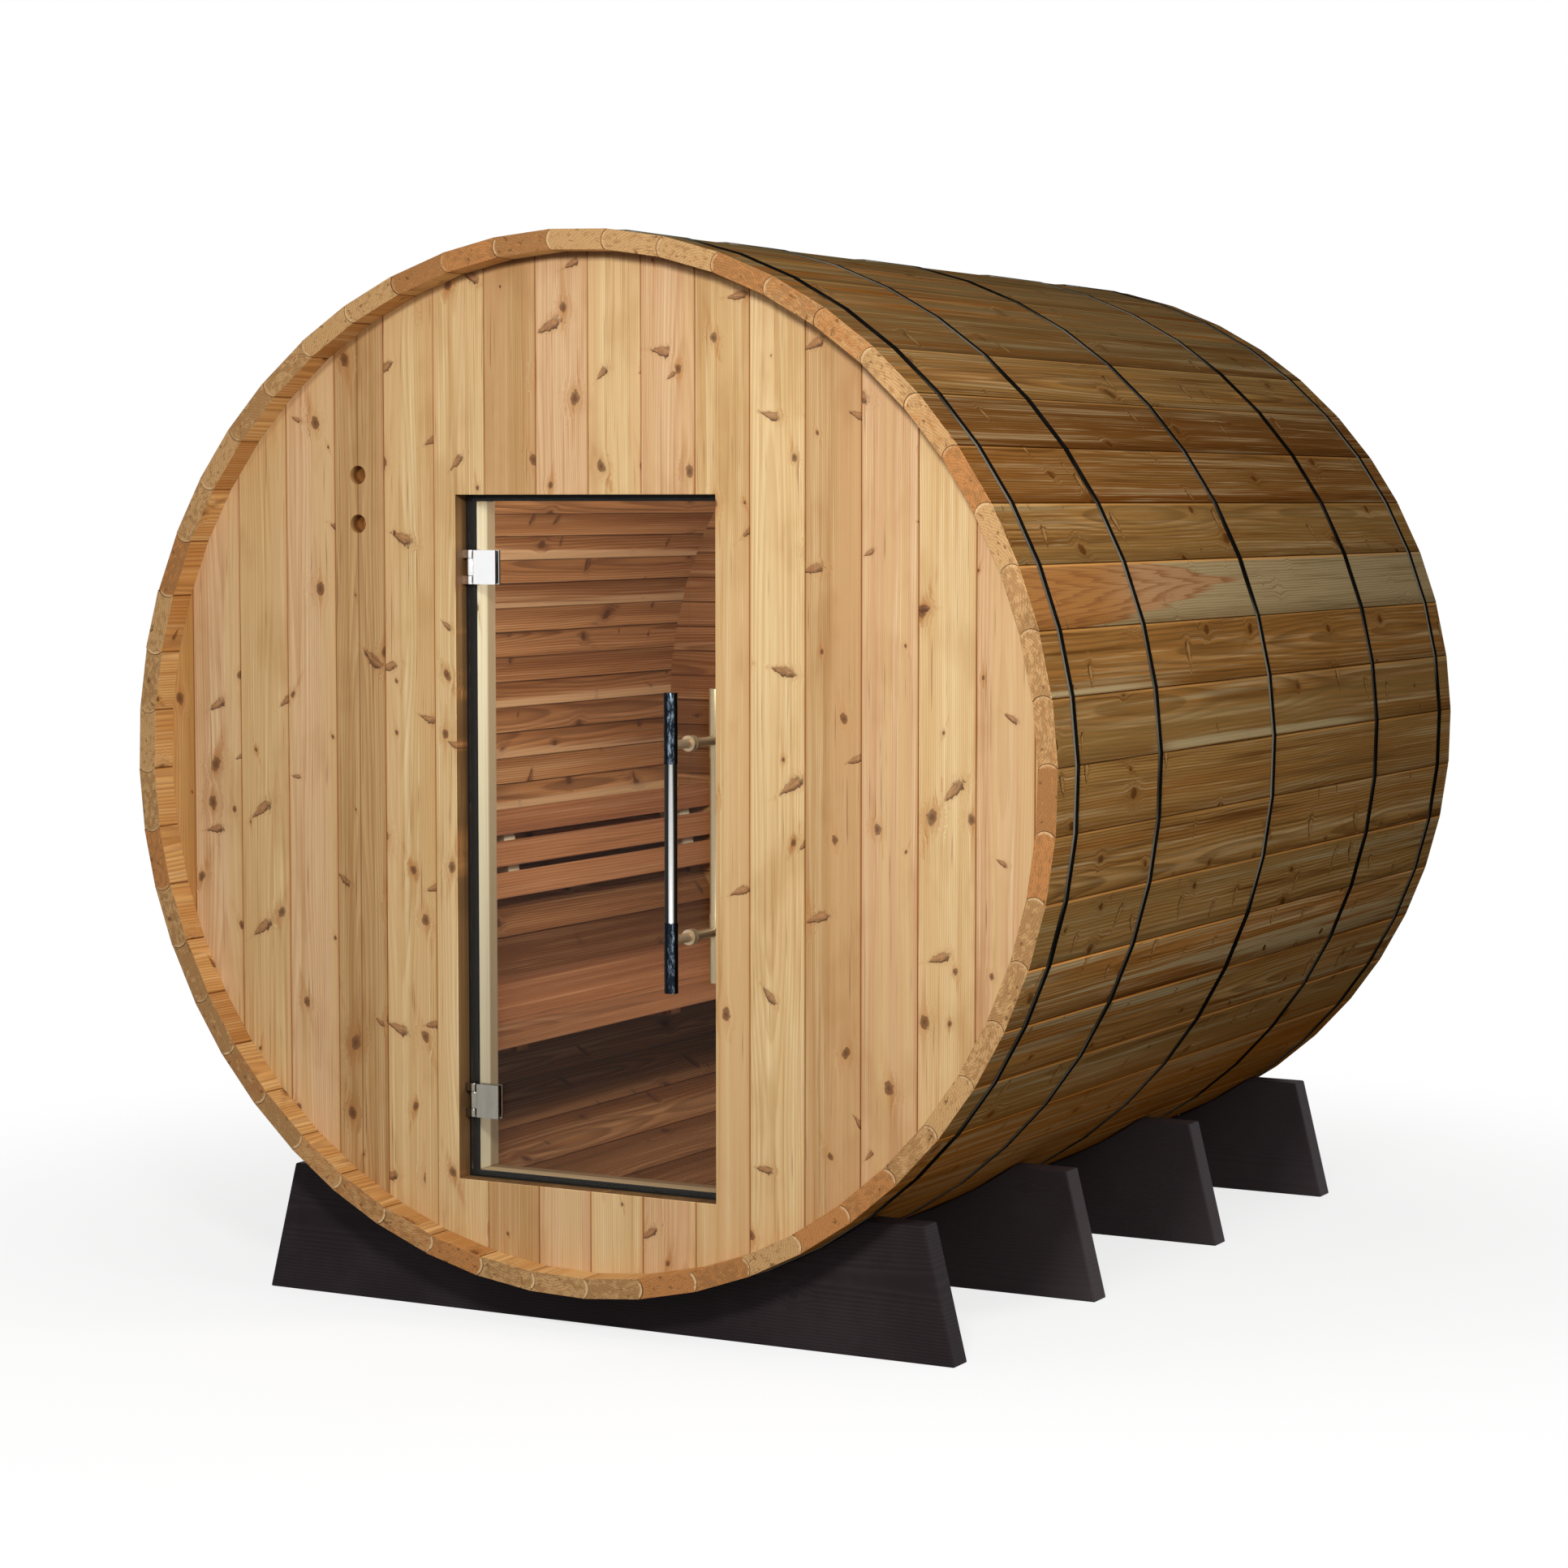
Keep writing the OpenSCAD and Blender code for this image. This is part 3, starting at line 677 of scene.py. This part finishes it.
def boardMaterial(kind):
    material, shader, place = startMaterial("board_" + kind)
    x, y, z = parted(place)
    steps = (x - board["joint"]) / board["width"]
    number = math.floor(steps)
    across = (steps - number - 0.5) * board["width"]
    crowd = smooth(x, *board["crowdZone"]) * board["crowd"]
    picked = number + (y > 0.0) * board["rearBoards"]
    saw = grain(z, across, y, picked, crowded(board["saw"], crowd))
    tint = {**board["shares"], **board[kind]}
    body = stained(saw, tint)
    # wide soft zones of another tone, dim clouds, and thin dark runs of resin
    zone = noise(joined(across * 26, z * 0.45, number * 5.3), 2.0, 0.5)
    body = mixed(smooth(zone, 0.48, 0.6) * bareOf(saw) * 0.55, body, tint["other"])
    cloud = noise(joined(across * 11, z * 4.5, number * 3.7), 3.0, 0.55)
    body = darkened(smooth(cloud, 0.5, 0.7) * 0.7, body, tint["cloud"])
    resin = noise(joined(across * 230, z * 5, number * 2.9), 2.0, 0.5)
    body = mixed(smooth(resin, 0.66, 0.76) * 0.6, body, tint["resin"])
    # the board with the vents is duller and has a crack down its middle
    dull = smooth(abs(number - board["crackedBoard"]), 0.6, 0.4)
    body = darkened(dull, body, tint["dull"])
    crack = abs(across + (zone - 0.5) * 0.012 + 0.004) - resin * 0.002
    body = mixed(smooth(crack, 0.0012, 0.0002) * dull * 0.7, body, tint["resin"])
    toJoint = board["width"] / 2 - abs(across)
    body = darkened(smooth(toJoint, 0.005, 0.001) * 0.45, body, tint["nearJoint"])
    body = darkened(smooth(toJoint, 0.0022, 0.0008) * 0.5, body, tint["joint"])
    # the bored vents take this finish, and painted shade darkens them inwards
    if kind == "h":
        bored = smooth(y, wallFront + 0.002, wallFront + 0.016) * (y < 0.0)
        body = darkened(bored, body, tint["bored"])
    # a painted shadow of the rim lies in the corner against it, most of it at the upper right
    up = z - axisZ
    radius = root(x * x + up * up)
    shaded = smooth((x + up) / radius, -0.4, 0.6)
    edge = wallRadius - board["housed"]
    dustAndRimShadow = smooth(radius, edge - 0.012, edge - 0.003) * shaded
    body = darkened(dustAndRimShadow * 0.9, body, tint["rimShadow"])
    planed(shader, body, saw, rough=0.48, gloss=0.25, relief=0.25)
    return material


# the walls' backs are lined with level boards in the red-brown of the cabin
def boardBack():
    material, shader, place = startMaterial("board_cabin")
    x, y, z = parted(place)
    steps = z / board["lining"]
    number = math.floor(steps)
    across = (steps - number - 0.5) * board["lining"]
    saw = grain(x, across, y, number + (y > 0.0) * board["rearBoards"], bench["saw"])
    body = stained(saw, stave["inside"])
    toJoint = board["lining"] / 2 - abs(across)
    body = darkened(smooth(toJoint, 0.0024, 0.0008) * 0.8, body, board["lined"]["joint"])
    planed(shader, body, saw, rough=0.5, gloss=0.2, relief=0.25)
    return material


# one board, cut from a disc that fills the barrel, with the doorway taken out
def strip(left, right, front, back, opening):
    bm = bmesh.new()
    standing = Matrix.Translation((0, front, axisZ)) @ Matrix.Rotation(math.pi / 2, 4, "X")
    bmesh.ops.create_circle(
        bm, cap_ends=True, radius=wallRadius, segments=board["segments"], matrix=standing
    )

    def cut(point, normal, **clear):
        parts = bm.verts[:] + bm.edges[:] + bm.faces[:]
        bmesh.ops.bisect_plane(bm, geom=parts, dist=1e-6, plane_co=point, plane_no=normal, **clear)

    cut((left, 0, 0), (1, 0, 0), clear_inner=True)
    cut((right, 0, 0), (1, 0, 0), clear_outer=True)
    if opening and left < opening["right"] and right > opening["left"]:
        for edge in (opening["left"], opening["right"]):
            cut((edge, 0, 0), (1, 0, 0))
        for edge in (opening["foot"], opening["head"]):
            cut((0, 0, edge), (0, 0, 1))
        cleared = [
            face for face in bm.faces
            if opening["left"] < face.calc_center_median().x < opening["right"]
            and opening["foot"] < face.calc_center_median().z < opening["head"]
        ]
        bmesh.ops.delete(bm, geom=cleared, context="FACES")
        bmesh.ops.dissolve_limit(bm, angle_limit=0.001, verts=bm.verts[:], edges=bm.edges[:])
    pushed = bmesh.ops.extrude_face_region(bm, geom=bm.faces[:])
    moved = [part for part in pushed["geom"] if isinstance(part, bmesh.types.BMVert)]
    bmesh.ops.translate(bm, verts=moved, vec=(0, back - front, 0))
    bmesh.ops.recalc_face_normals(bm, faces=bm.faces[:])
    shown = [
        edge for edge in bm.edges
        if all(abs(vert.co.y - front) < 1e-5 for vert in edge.verts)
        and edge.calc_length() > board["shortest"]
    ]
    bmesh.ops.bevel(
        bm, geom=shown, offset=board["ease"], affect="EDGES", segments=2, profile=0.5, material=-1
    )
    return bm


def withinDoorway(face, opening):
    centre = face.calc_center_median()
    wide = opening["left"] - 0.001 < centre.x < opening["right"] + 0.001
    return wide and opening["foot"] - 0.001 < centre.z < opening["head"] + 0.001


def boardWall(name, front, back, opening, replaced):
    whole = bmesh.new()
    first = math.floor((-wallRadius - board["joint"]) / board["width"])
    last = math.ceil((wallRadius - board["joint"]) / board["width"])
    reach = wallRadius - board["rimGap"]
    for number in range(first, last):
        left = max(board["joint"] + number * board["width"] + board["gap"] / 2, -reach)
        right = min(board["joint"] + (number + 1) * board["width"] - board["gap"] / 2, reach)
        if right - left < board["narrowest"]:
            continue
        bm = strip(left, right, front, back, opening)
        kind = board["kinds"][(number - board["firstKind"]) % len(board["kinds"])]
        for face in bm.faces:
            atBack = all(abs(vert.co.y - back) < 1e-5 for vert in face.verts)
            look = "b" if atBack else kind
            # the doorway's side faces take finish r, whose dark brown is painted shade
            if opening and not atBack and abs(face.normal.y) < 0.1 and withinDoorway(face, opening):
                look = "r"
            face.material_index = board["finishes"].index(look)
        part = bpy.data.meshes.new("strip")
        bm.to_mesh(part)
        bm.free()
        whole.from_mesh(part)
        bpy.data.meshes.remove(part)
    wall = newPiece(name, whole, "cabin")
    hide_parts(*replaced)
    return wall


def boreVents(wall):
    for mount in frame["record"]["mounts"]:
        if mount["kind"] != "bore":
            continue
        radius = mount["dims"]["r_mm"] / 1000
        place = Matrix.Translation(mount["pos_m"]) @ Matrix.Rotation(math.pi / 2, 4, "X")
        bm = bmesh.new()
        bmesh.ops.create_cone(
            bm, cap_ends=True, segments=board["ventSegments"], radius1=radius, radius2=radius,
            depth=board["drillLength"], matrix=place,
        )
        mesh = bpy.data.meshes.new("drill")
        bm.to_mesh(mesh)
        bm.free()
        drill = bpy.data.objects.new("drill", mesh)
        scene.collection.objects.link(drill)
        for finish in wall.data.materials:
            mesh.materials.append(finish)
        cutting = wall.modifiers.new("vent", "BOOLEAN")
        cutting.operation = "DIFFERENCE"
        cutting.object = drill
        cutting.solver = "EXACT"
        ready = wall.evaluated_get(bpy.context.evaluated_depsgraph_get())
        bored = bpy.data.meshes.new_from_object(ready)
        wall.modifiers.clear()
        wall.data = bored
        bpy.data.objects.remove(drill)


doorway = {
    "left": headerLow.x, "right": headerHigh.x,
    "foot": baseHigh.z, "head": headerLow.z,
}
frontNodes = ("front_wall_left", "front_wall_right", "front_wall_header", "front_wall_base")
frontBoards = boardWall("front_boards", wallFront, wallBack, doorway, frontNodes)
rearBoards = boardWall("rear_boards", -wallFront, -wallBack, None, ("rear_wall",))
boardFinishes = [boardBack() if kind == "b" else boardMaterial(kind) for kind in board["finishes"]]
for wall in (frontBoards, rearBoards):
    for finish in boardFinishes:
        wall.data.materials.append(finish)
boreVents(frontBoards)
print("stage: wall boards made")


def timber(name, saw, tint, along, step):
    material, shader, place = startMaterial(name)
    axes = dict(zip("xyz", parted(place)))
    length = axes.pop(along)
    first, second = axes.values()
    number = math.floor(first / step) + math.floor(second / step) * 7
    pattern = grain(length, first + second * 0.9, first - second, number, saw)
    planed(shader, stained(pattern, tint), pattern, rough=0.5, gloss=0.2, relief=0.3)
    return material


doorFrame = {
    "saw": dict(bench["saw"], seed=31.0),
    "post": 0.5,
    "creamDepth": 0.033,
    "creamFade": 0.004,
    "sillZone": (0.4, 0.3),
    "inner": (0.48, 0.40, 0.34, 1),
    "sill": (0.62, 0.52, 0.44, 1),
    "tint": {
        "pale": paint(226, 212, 180), "warm": paint(212, 194, 158), "deep": paint(194, 166, 128),
        "streak": paint(234, 224, 198), "line": paint(180, 148, 108), "halo": paint(170, 134, 92),
        "knot": paint(130, 92, 58), "edge": paint(98, 64, 40),
        "deepShare": 0.3, "streakShare": 0.4, "shadeShare": 0.3, "fineShare": 0.2, "lineShare": 0.25,
        "fibreShare": 0.12,
    },
}


# the door frame's colour is painted light where daylight falls on it, with painted shade further in
def jambPine(name, along):
    material, shader, place = startMaterial(name)
    axes = dict(zip("xyz", parted(place)))
    inward = axes["y"] - wallBack
    length = axes.pop(along)
    first, second = axes.values()
    number = math.floor(first / doorFrame["post"])
    saw = grain(length, first + second * 0.9, first - second, number, doorFrame["saw"])
    body = stained(saw, doorFrame["tint"])
    # pale near the front as painted daylight, darker further in as painted shade
    edge, fade = doorFrame["creamDepth"], doorFrame["creamFade"]
    body = darkened(smooth(inward, edge - fade, edge + fade), body, doorFrame["inner"])
    # the level pieces darken towards the sill
    if along == "x":
        body = darkened(smooth(axes["z"], *doorFrame["sillZone"]), body, doorFrame["sill"])
    planed(shader, body, saw, rough=0.5, gloss=0.15, relief=0.3)
    return material


cradle = {
    "step": 0.4,
    "frontZone": (-0.6, -0.8),  # the front cradle lies past these
    "saw": {
        "seed": 47.0, "pithSpread": 0.3, "pithDepth": 0.06, "taper": 0.05, "wander": 0.02,
        "ringPitch": 0.005,
        "knot": {"cell": (0.16, 0.4), "share": 0.5, "across": 0.008, "along": 0.011, "spread": 1.0,
                 "turn": 1.0, "wedge": 0.0},
    },
    "paint": paint(66, 58, 60),
    "wearAndHighlight": paint(76, 69, 71),
    "frontShade": paint(37, 30, 32),
}
cradleNames = ("front_cradle", "front_inner_cradle", "rear_inner_cradle", "rear_cradle")


def cradlePaint():
    material, shader, place = startMaterial("cradle_black")
    x, y, z = parted(place)
    saw = grain(x, z, y, math.floor(y / cradle["step"]), cradle["saw"])
    blotch = noise(joined(x * 7, y * 7, z * 7), 4.0, 0.6)
    share = clamped(smooth(blotch, 0.4, 0.75) * 0.4 + saw["line"] * 0.3 - saw["knot"] * 0.4)
    body = mixed(share, cradle["paint"], cradle["wearAndHighlight"])
    # the front cradle is darker, a painted shade that matches it to the cradles in the barrel's shadow
    front = smooth(y, *cradle["frontZone"]) * (1 - share * 0.5)
    body = mixed(front, body, cradle["frontShade"])
    planed(shader, body, saw, rough=0.5, gloss=0.08, relief=0.2)
    return material


band = {
    "steel": paint(16, 15, 13),
    "rubbed": paint(34, 31, 26),
    "paintedHighlight": paint(126, 120, 106),
    "highlightEdge": (0.0034, 0.0022),  # how far from a band's front edge the bright line ends and is full
}
bandNames = ("front_band", "front_inner_band", "middle_band", "rear_inner_band", "rear_band")


def bandSteel():
    material, shader, place = startMaterial("band_steel")
    x, y, z = parted(place)
    rubbed = noise(joined(x * 22, y * 60, z * 22), 4.0, 0.6)
    body = mixed(smooth(rubbed, 0.5, 0.75) * 0.7, band["steel"], band["rubbed"])
    # a painted highlight runs in patches along each band's front edge
    wearAndHighlight = smooth(noise(joined(x * 2.5, y * 3, z * 2.5)), 0.4, 0.6)
    for name in bandNames:
        fromEdge = abs(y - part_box(name)[0].y)
        body = mixed(smooth(fromEdge, *band["highlightEdge"]) * wearAndHighlight * 0.8, body, band["paintedHighlight"])
    body.feed(shader, "Base Color")
    (rubbed * 0.3 + 0.45).feed(shader, "Roughness")
    shader.inputs["Specular IOR Level"].default_value = 0.0
    return material


seal = {"rubber": paint(14, 13, 12), "dustAndRimShadow": paint(30, 27, 23)}


def sealRubber():
    material, shader, place = startMaterial("seal_rubber")
    x, y, z = parted(place)
    fine = noise(joined(x * 300, y * 300, z * 300), 3.0, 0.6)
    mixed(fine, seal["rubber"], seal["dustAndRimShadow"]).feed(shader, "Base Color")
    (fine * 0.2 + 0.55).feed(shader, "Roughness")
    shader.inputs["Specular IOR Level"].default_value = 0.2
    bumped(fine, 0.15, 0.0006).feed(shader, "Normal")
    return material


# the lower hinge is painted duller than the upper one, as a painted reflection of the ground
hinge = {
    "paintedHighlight": (paint(240, 240, 240), paint(252, 252, 252)),
    "dull": (paint(128, 124, 114), paint(156, 152, 142)),
    "reflectionZone": (0.7, 1.0),
}


def hingeChrome():
    material, shader, place = startMaterial("hinge_chrome")
    x, y, z = parted(place)
    smear = noise(joined(x * 60, y * 60, z * 25), 3.0, 0.6)
    paintedHighlight = mixed(smear, *hinge["paintedHighlight"])
    dull = mixed(smear, *hinge["dull"])
    mixed(smooth(z, *hinge["reflectionZone"]), dull, paintedHighlight).feed(shader, "Base Color")
    (smear * 0.12 + 0.1).feed(shader, "Roughness")
    shader.inputs["Metallic"].default_value = 1.0
    return material


barLow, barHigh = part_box("outer_handle_bar")
handle = {
    "sleeve": 0.12,
    "polishedReflection": (paint(30, 38, 48), paint(160, 178, 192)),
    "polishedEdgeReflection": paint(14, 17, 22),
    "satin": (paint(190, 190, 188), paint(228, 228, 226)),
    "satinEdgeReflection": paint(40, 40, 40),
    "warm": (paint(176, 150, 116), paint(206, 184, 152)),
}


def handleSteel():
    material, shader, place = startMaterial("handle_steel")
    x, y, z = parted(place)
    brushed = noise(joined(x * 90, y * 90, z * 2500), 2.0, 0.5)
    cloudy = noise(joined(x * 150, y * 150, z * 45), 4.0, 0.7)
    satin = (z > barLow.z + handle["sleeve"]) * (z < barHigh.z - handle["sleeve"])
    # the polished ends' dark colour with bright specks is a painted reflection, and both parts are painted
    # darker towards their edges as reflection
    edge = place.make("ShaderNodeLayerWeight", {}, {"Blend": 0.5}, "Facing")
    polishedReflection = mixed(smooth(cloudy, 0.46, 0.7), *handle["polishedReflection"])
    polishedReflection = mixed(smooth(edge, 0.05, 0.2), polishedReflection, handle["polishedEdgeReflection"])
    body = mixed(brushed, *handle["satin"])
    body = mixed(smooth(edge, 0.02, 0.12), body, handle["satinEdgeReflection"])
    mixed(satin, polishedReflection, body).feed(shader, "Base Color")
    (satin * (brushed * 0.12 + 0.16) + 0.1).feed(shader, "Roughness")
    shader.inputs["Metallic"].default_value = 1.0
    return material


# the bar behind the glass and the posts are dull, their warm colour a painted reflection of the cabin's
# wood
def handleCabinReflection():
    material, shader, place = startMaterial("handle_steel_cabin_reflection")
    x, y, z = parted(place)
    brushed = noise(joined(x * 90, y * 90, z * 1500), 3.0, 0.6)
    mixed(brushed, *handle["warm"]).feed(shader, "Base Color")
    (brushed * 0.15 + 0.3).feed(shader, "Roughness")
    shader.inputs["Metallic"].default_value = 0.7
    return material


glass = {"tint": (0.97, 0.985, 0.975, 1), "roughness": 0.02, "bend": 1.45, "mirror": 0.18}


def doorGlass():
    material, shader, place = startMaterial("door_glass")
    tree = material.node_tree
    clear = tree.nodes.new("ShaderNodeBsdfTransparent")
    clear.inputs["Color"].default_value = glass["tint"]
    mirror = tree.nodes.new("ShaderNodeBsdfGlossy")
    mirror.inputs["Roughness"].default_value = glass["roughness"]
    share = place.make("ShaderNodeFresnel", {}, {"IOR": glass["bend"]}) * glass["mirror"]
    sheet = tree.nodes.new("ShaderNodeMixShader")
    share.feed(sheet, 0)
    tree.links.new(clear.outputs[0], sheet.inputs[1])
    tree.links.new(mirror.outputs[0], sheet.inputs[2])
    tree.links.new(sheet.outputs[0], tree.nodes["Material Output"].inputs["Surface"])
    tree.nodes.remove(shader)
    return material


def dress(material, *names):
    for name in names:
        nodes[name].data.materials.clear()
        nodes[name].data.materials.append(material)


dress(timber("bench_cedar", bench["saw"], bench["tint"], "y", bench["slat"]),
      "bench_seat_slats", "bench_front_rail", "backrest_slats")
dress(timber("bracket_cedar", bench["saw"], bench["tint"], "z", bench["bracket"]), "bench_brackets")
dress(timber("batten_pine", bench["saw"], doorFrame["tint"], "z", bench["bracket"]), "backrest_battens")
dress(jambPine("jamb_pine", "z"), "door_jambs")
dress(jambPine("sill_pine", "x"), "door_head", "door_sill")
dress(cradlePaint(), *cradleNames)
dress(bandSteel(), *bandNames)
dress(sealRubber(), "door_seal")
dress(hingeChrome(), "hinge_brackets", "hinge_clamps")
dress(handleSteel(), "outer_handle_bar")
dress(handleCabinReflection(), "inner_handle_bar", "outer_handle_posts", "inner_handle_posts")
dress(doorGlass(), "door_glass")
print("stage: finishes given")

# sharp edges are eased a little, as planed timber and cast fittings are
easing = {"flatAngle": math.radians(0.5), "sharpAngle": math.radians(40), "segments": 2}
easeWidths = {
    0.003: cradleNames,
    0.002: ("bench_seat_slats", "bench_front_rail", "bench_brackets", "backrest_slats",
            "backrest_battens", "door_jambs", "door_head", "door_sill"),
    0.0012: ("hinge_clamps", "hinge_brackets", "door_glass"),
    0.0006: ("outer_handle_bar", "inner_handle_bar", "outer_handle_posts", "inner_handle_posts"),
}


def easeEdges(part, width):
    part.modifiers.new("weld", "WELD").merge_threshold = weldGap
    flat = part.modifiers.new("flat", "DECIMATE")
    flat.decimate_type = "DISSOLVE"
    flat.angle_limit = easing["flatAngle"]
    rounded = part.modifiers.new("ease", "BEVEL")
    rounded.width = width
    rounded.segments = easing["segments"]
    rounded.limit_method = "ANGLE"
    rounded.angle_limit = easing["sharpAngle"]


for width, names in easeWidths.items():
    for name in names:
        easeEdges(nodes[name], width)
print("stage: edges eased")

studio = {
    "cameraPlace": (3.350, -6.427, 1.433),
    "cameraPitch": 4.299,
    "cameraYaw": 28.293,
    "lens": 86.05,
    "sensor": 36.0,
    "floorSize": 40.0,
    "floorFade": (1.1, 2.6),
    "floorColour": (0.90, 0.90, 0.895, 1),
    "floorBounce": (0.30, 0.30, 0.30, 1),
    "floorWhite": 0.78,
    "skyLight": 0.46,
    "lamps": [
        {"name": "key", "place": (1.4, -3.6, 2.45), "aim": (0.0, -0.9, 1.0), "size": 0.5, "power": 80},
        {"name": "fill", "place": (2.2, -1.15, 1.95), "aim": (0.8, -1.35, 0.8), "size": 1.6, "power": 18},
        {"name": "cabinWall", "place": (0.45, -0.3, 1.44), "aim": (-0.8, 0.2, 1.15), "size": 0.5,
         "power": 16},
        {"name": "cabinFloor", "place": (0.5, 0.1, 0.43), "aim": (-0.6, 0.1, 0.4), "size": 0.4,
         "power": 1.5},
    ],
}


def makeCamera():
    lens = bpy.data.cameras.new("camera")
    lens.lens = studio["lens"]
    lens.sensor_width = studio["sensor"]
    camera = bpy.data.objects.new("camera", lens)
    camera.location = studio["cameraPlace"]
    tilt = math.radians(90 - studio["cameraPitch"])
    camera.rotation_euler = (tilt, 0, math.radians(studio["cameraYaw"]))
    scene.collection.objects.link(camera)
    scene.camera = camera


def makeLamps():
    for lamp in studio["lamps"]:
        light = bpy.data.lights.new(lamp["name"], "AREA")
        light.shape = "DISK"
        light.size = lamp["size"]
        light.energy = lamp["power"]
        hung = bpy.data.objects.new(lamp["name"], light)
        hung.location = lamp["place"]
        hung.visible_camera = False
        hung.visible_glossy = lamp["name"] == "key"
        aim = Vector(lamp["aim"]) - Vector(lamp["place"])
        hung.rotation_euler = aim.to_track_quat("-Z", "Y").to_euler()
        scene.collection.objects.link(hung)


# what is seen straight on, in metal or through the glass
def seenRays(tree):
    ray = Sock(tree, tree.nodes.new("ShaderNodeLightPath").outputs["Is Camera Ray"])
    return ray, clamped(ray + ray.out("Is Glossy Ray") + ray.out("Is Transmission Ray"))


# a white background that lights the object less than it shows
def makeSky():
    world = bpy.data.worlds.new("sky")
    scene.world = world
    world.use_nodes = True
    tree = world.node_tree
    seen = seenRays(tree)[1]
    strength = seen * (1 - studio["skyLight"]) + studio["skyLight"]
    strength.feed(tree.nodes["Background"], "Strength")
    tree.nodes["Background"].inputs["Color"].default_value = (1, 1, 1, 1)


# pale floor that keeps the shadow and fades to the white background
def makeFloor():
    bm = bmesh.new()
    bmesh.ops.create_grid(bm, x_segments=1, y_segments=1, size=studio["floorSize"])
    mesh = bpy.data.meshes.new("floor")
    bm.to_mesh(mesh)
    bm.free()
    floor = bpy.data.objects.new("floor", mesh)
    scene.collection.objects.link(floor)
    material, shader, place = startMaterial("floor_pale")
    tree = material.node_tree
    x, y = parted(place)[:2]
    ray, seen = seenRays(tree)
    away = smooth(root(x * x + y * y), *studio["floorFade"])
    shader.inputs["Base Color"].default_value = studio["floorColour"]
    shader.inputs["Roughness"].default_value = 0.9
    dim = tree.nodes.new("ShaderNodeBsdfDiffuse")
    dim.inputs["Color"].default_value = studio["floorBounce"]
    white = tree.nodes.new("ShaderNodeEmission")
    ground = tree.nodes.new("ShaderNodeMixShader")
    ray.feed(ground, 0)
    tree.links.new(dim.outputs[0], ground.inputs[1])
    tree.links.new(shader.outputs[0], ground.inputs[2])
    sheet = tree.nodes.new("ShaderNodeMixShader")
    ((away * (1 - studio["floorWhite"]) + studio["floorWhite"]) * seen).feed(sheet, 0)
    tree.links.new(ground.outputs[0], sheet.inputs[1])
    tree.links.new(white.outputs[0], sheet.inputs[2])
    tree.links.new(sheet.outputs[0], tree.nodes["Material Output"].inputs["Surface"])
    mesh.materials.append(material)


makeCamera()
makeLamps()
makeSky()
makeFloor()
print("stage: studio set")
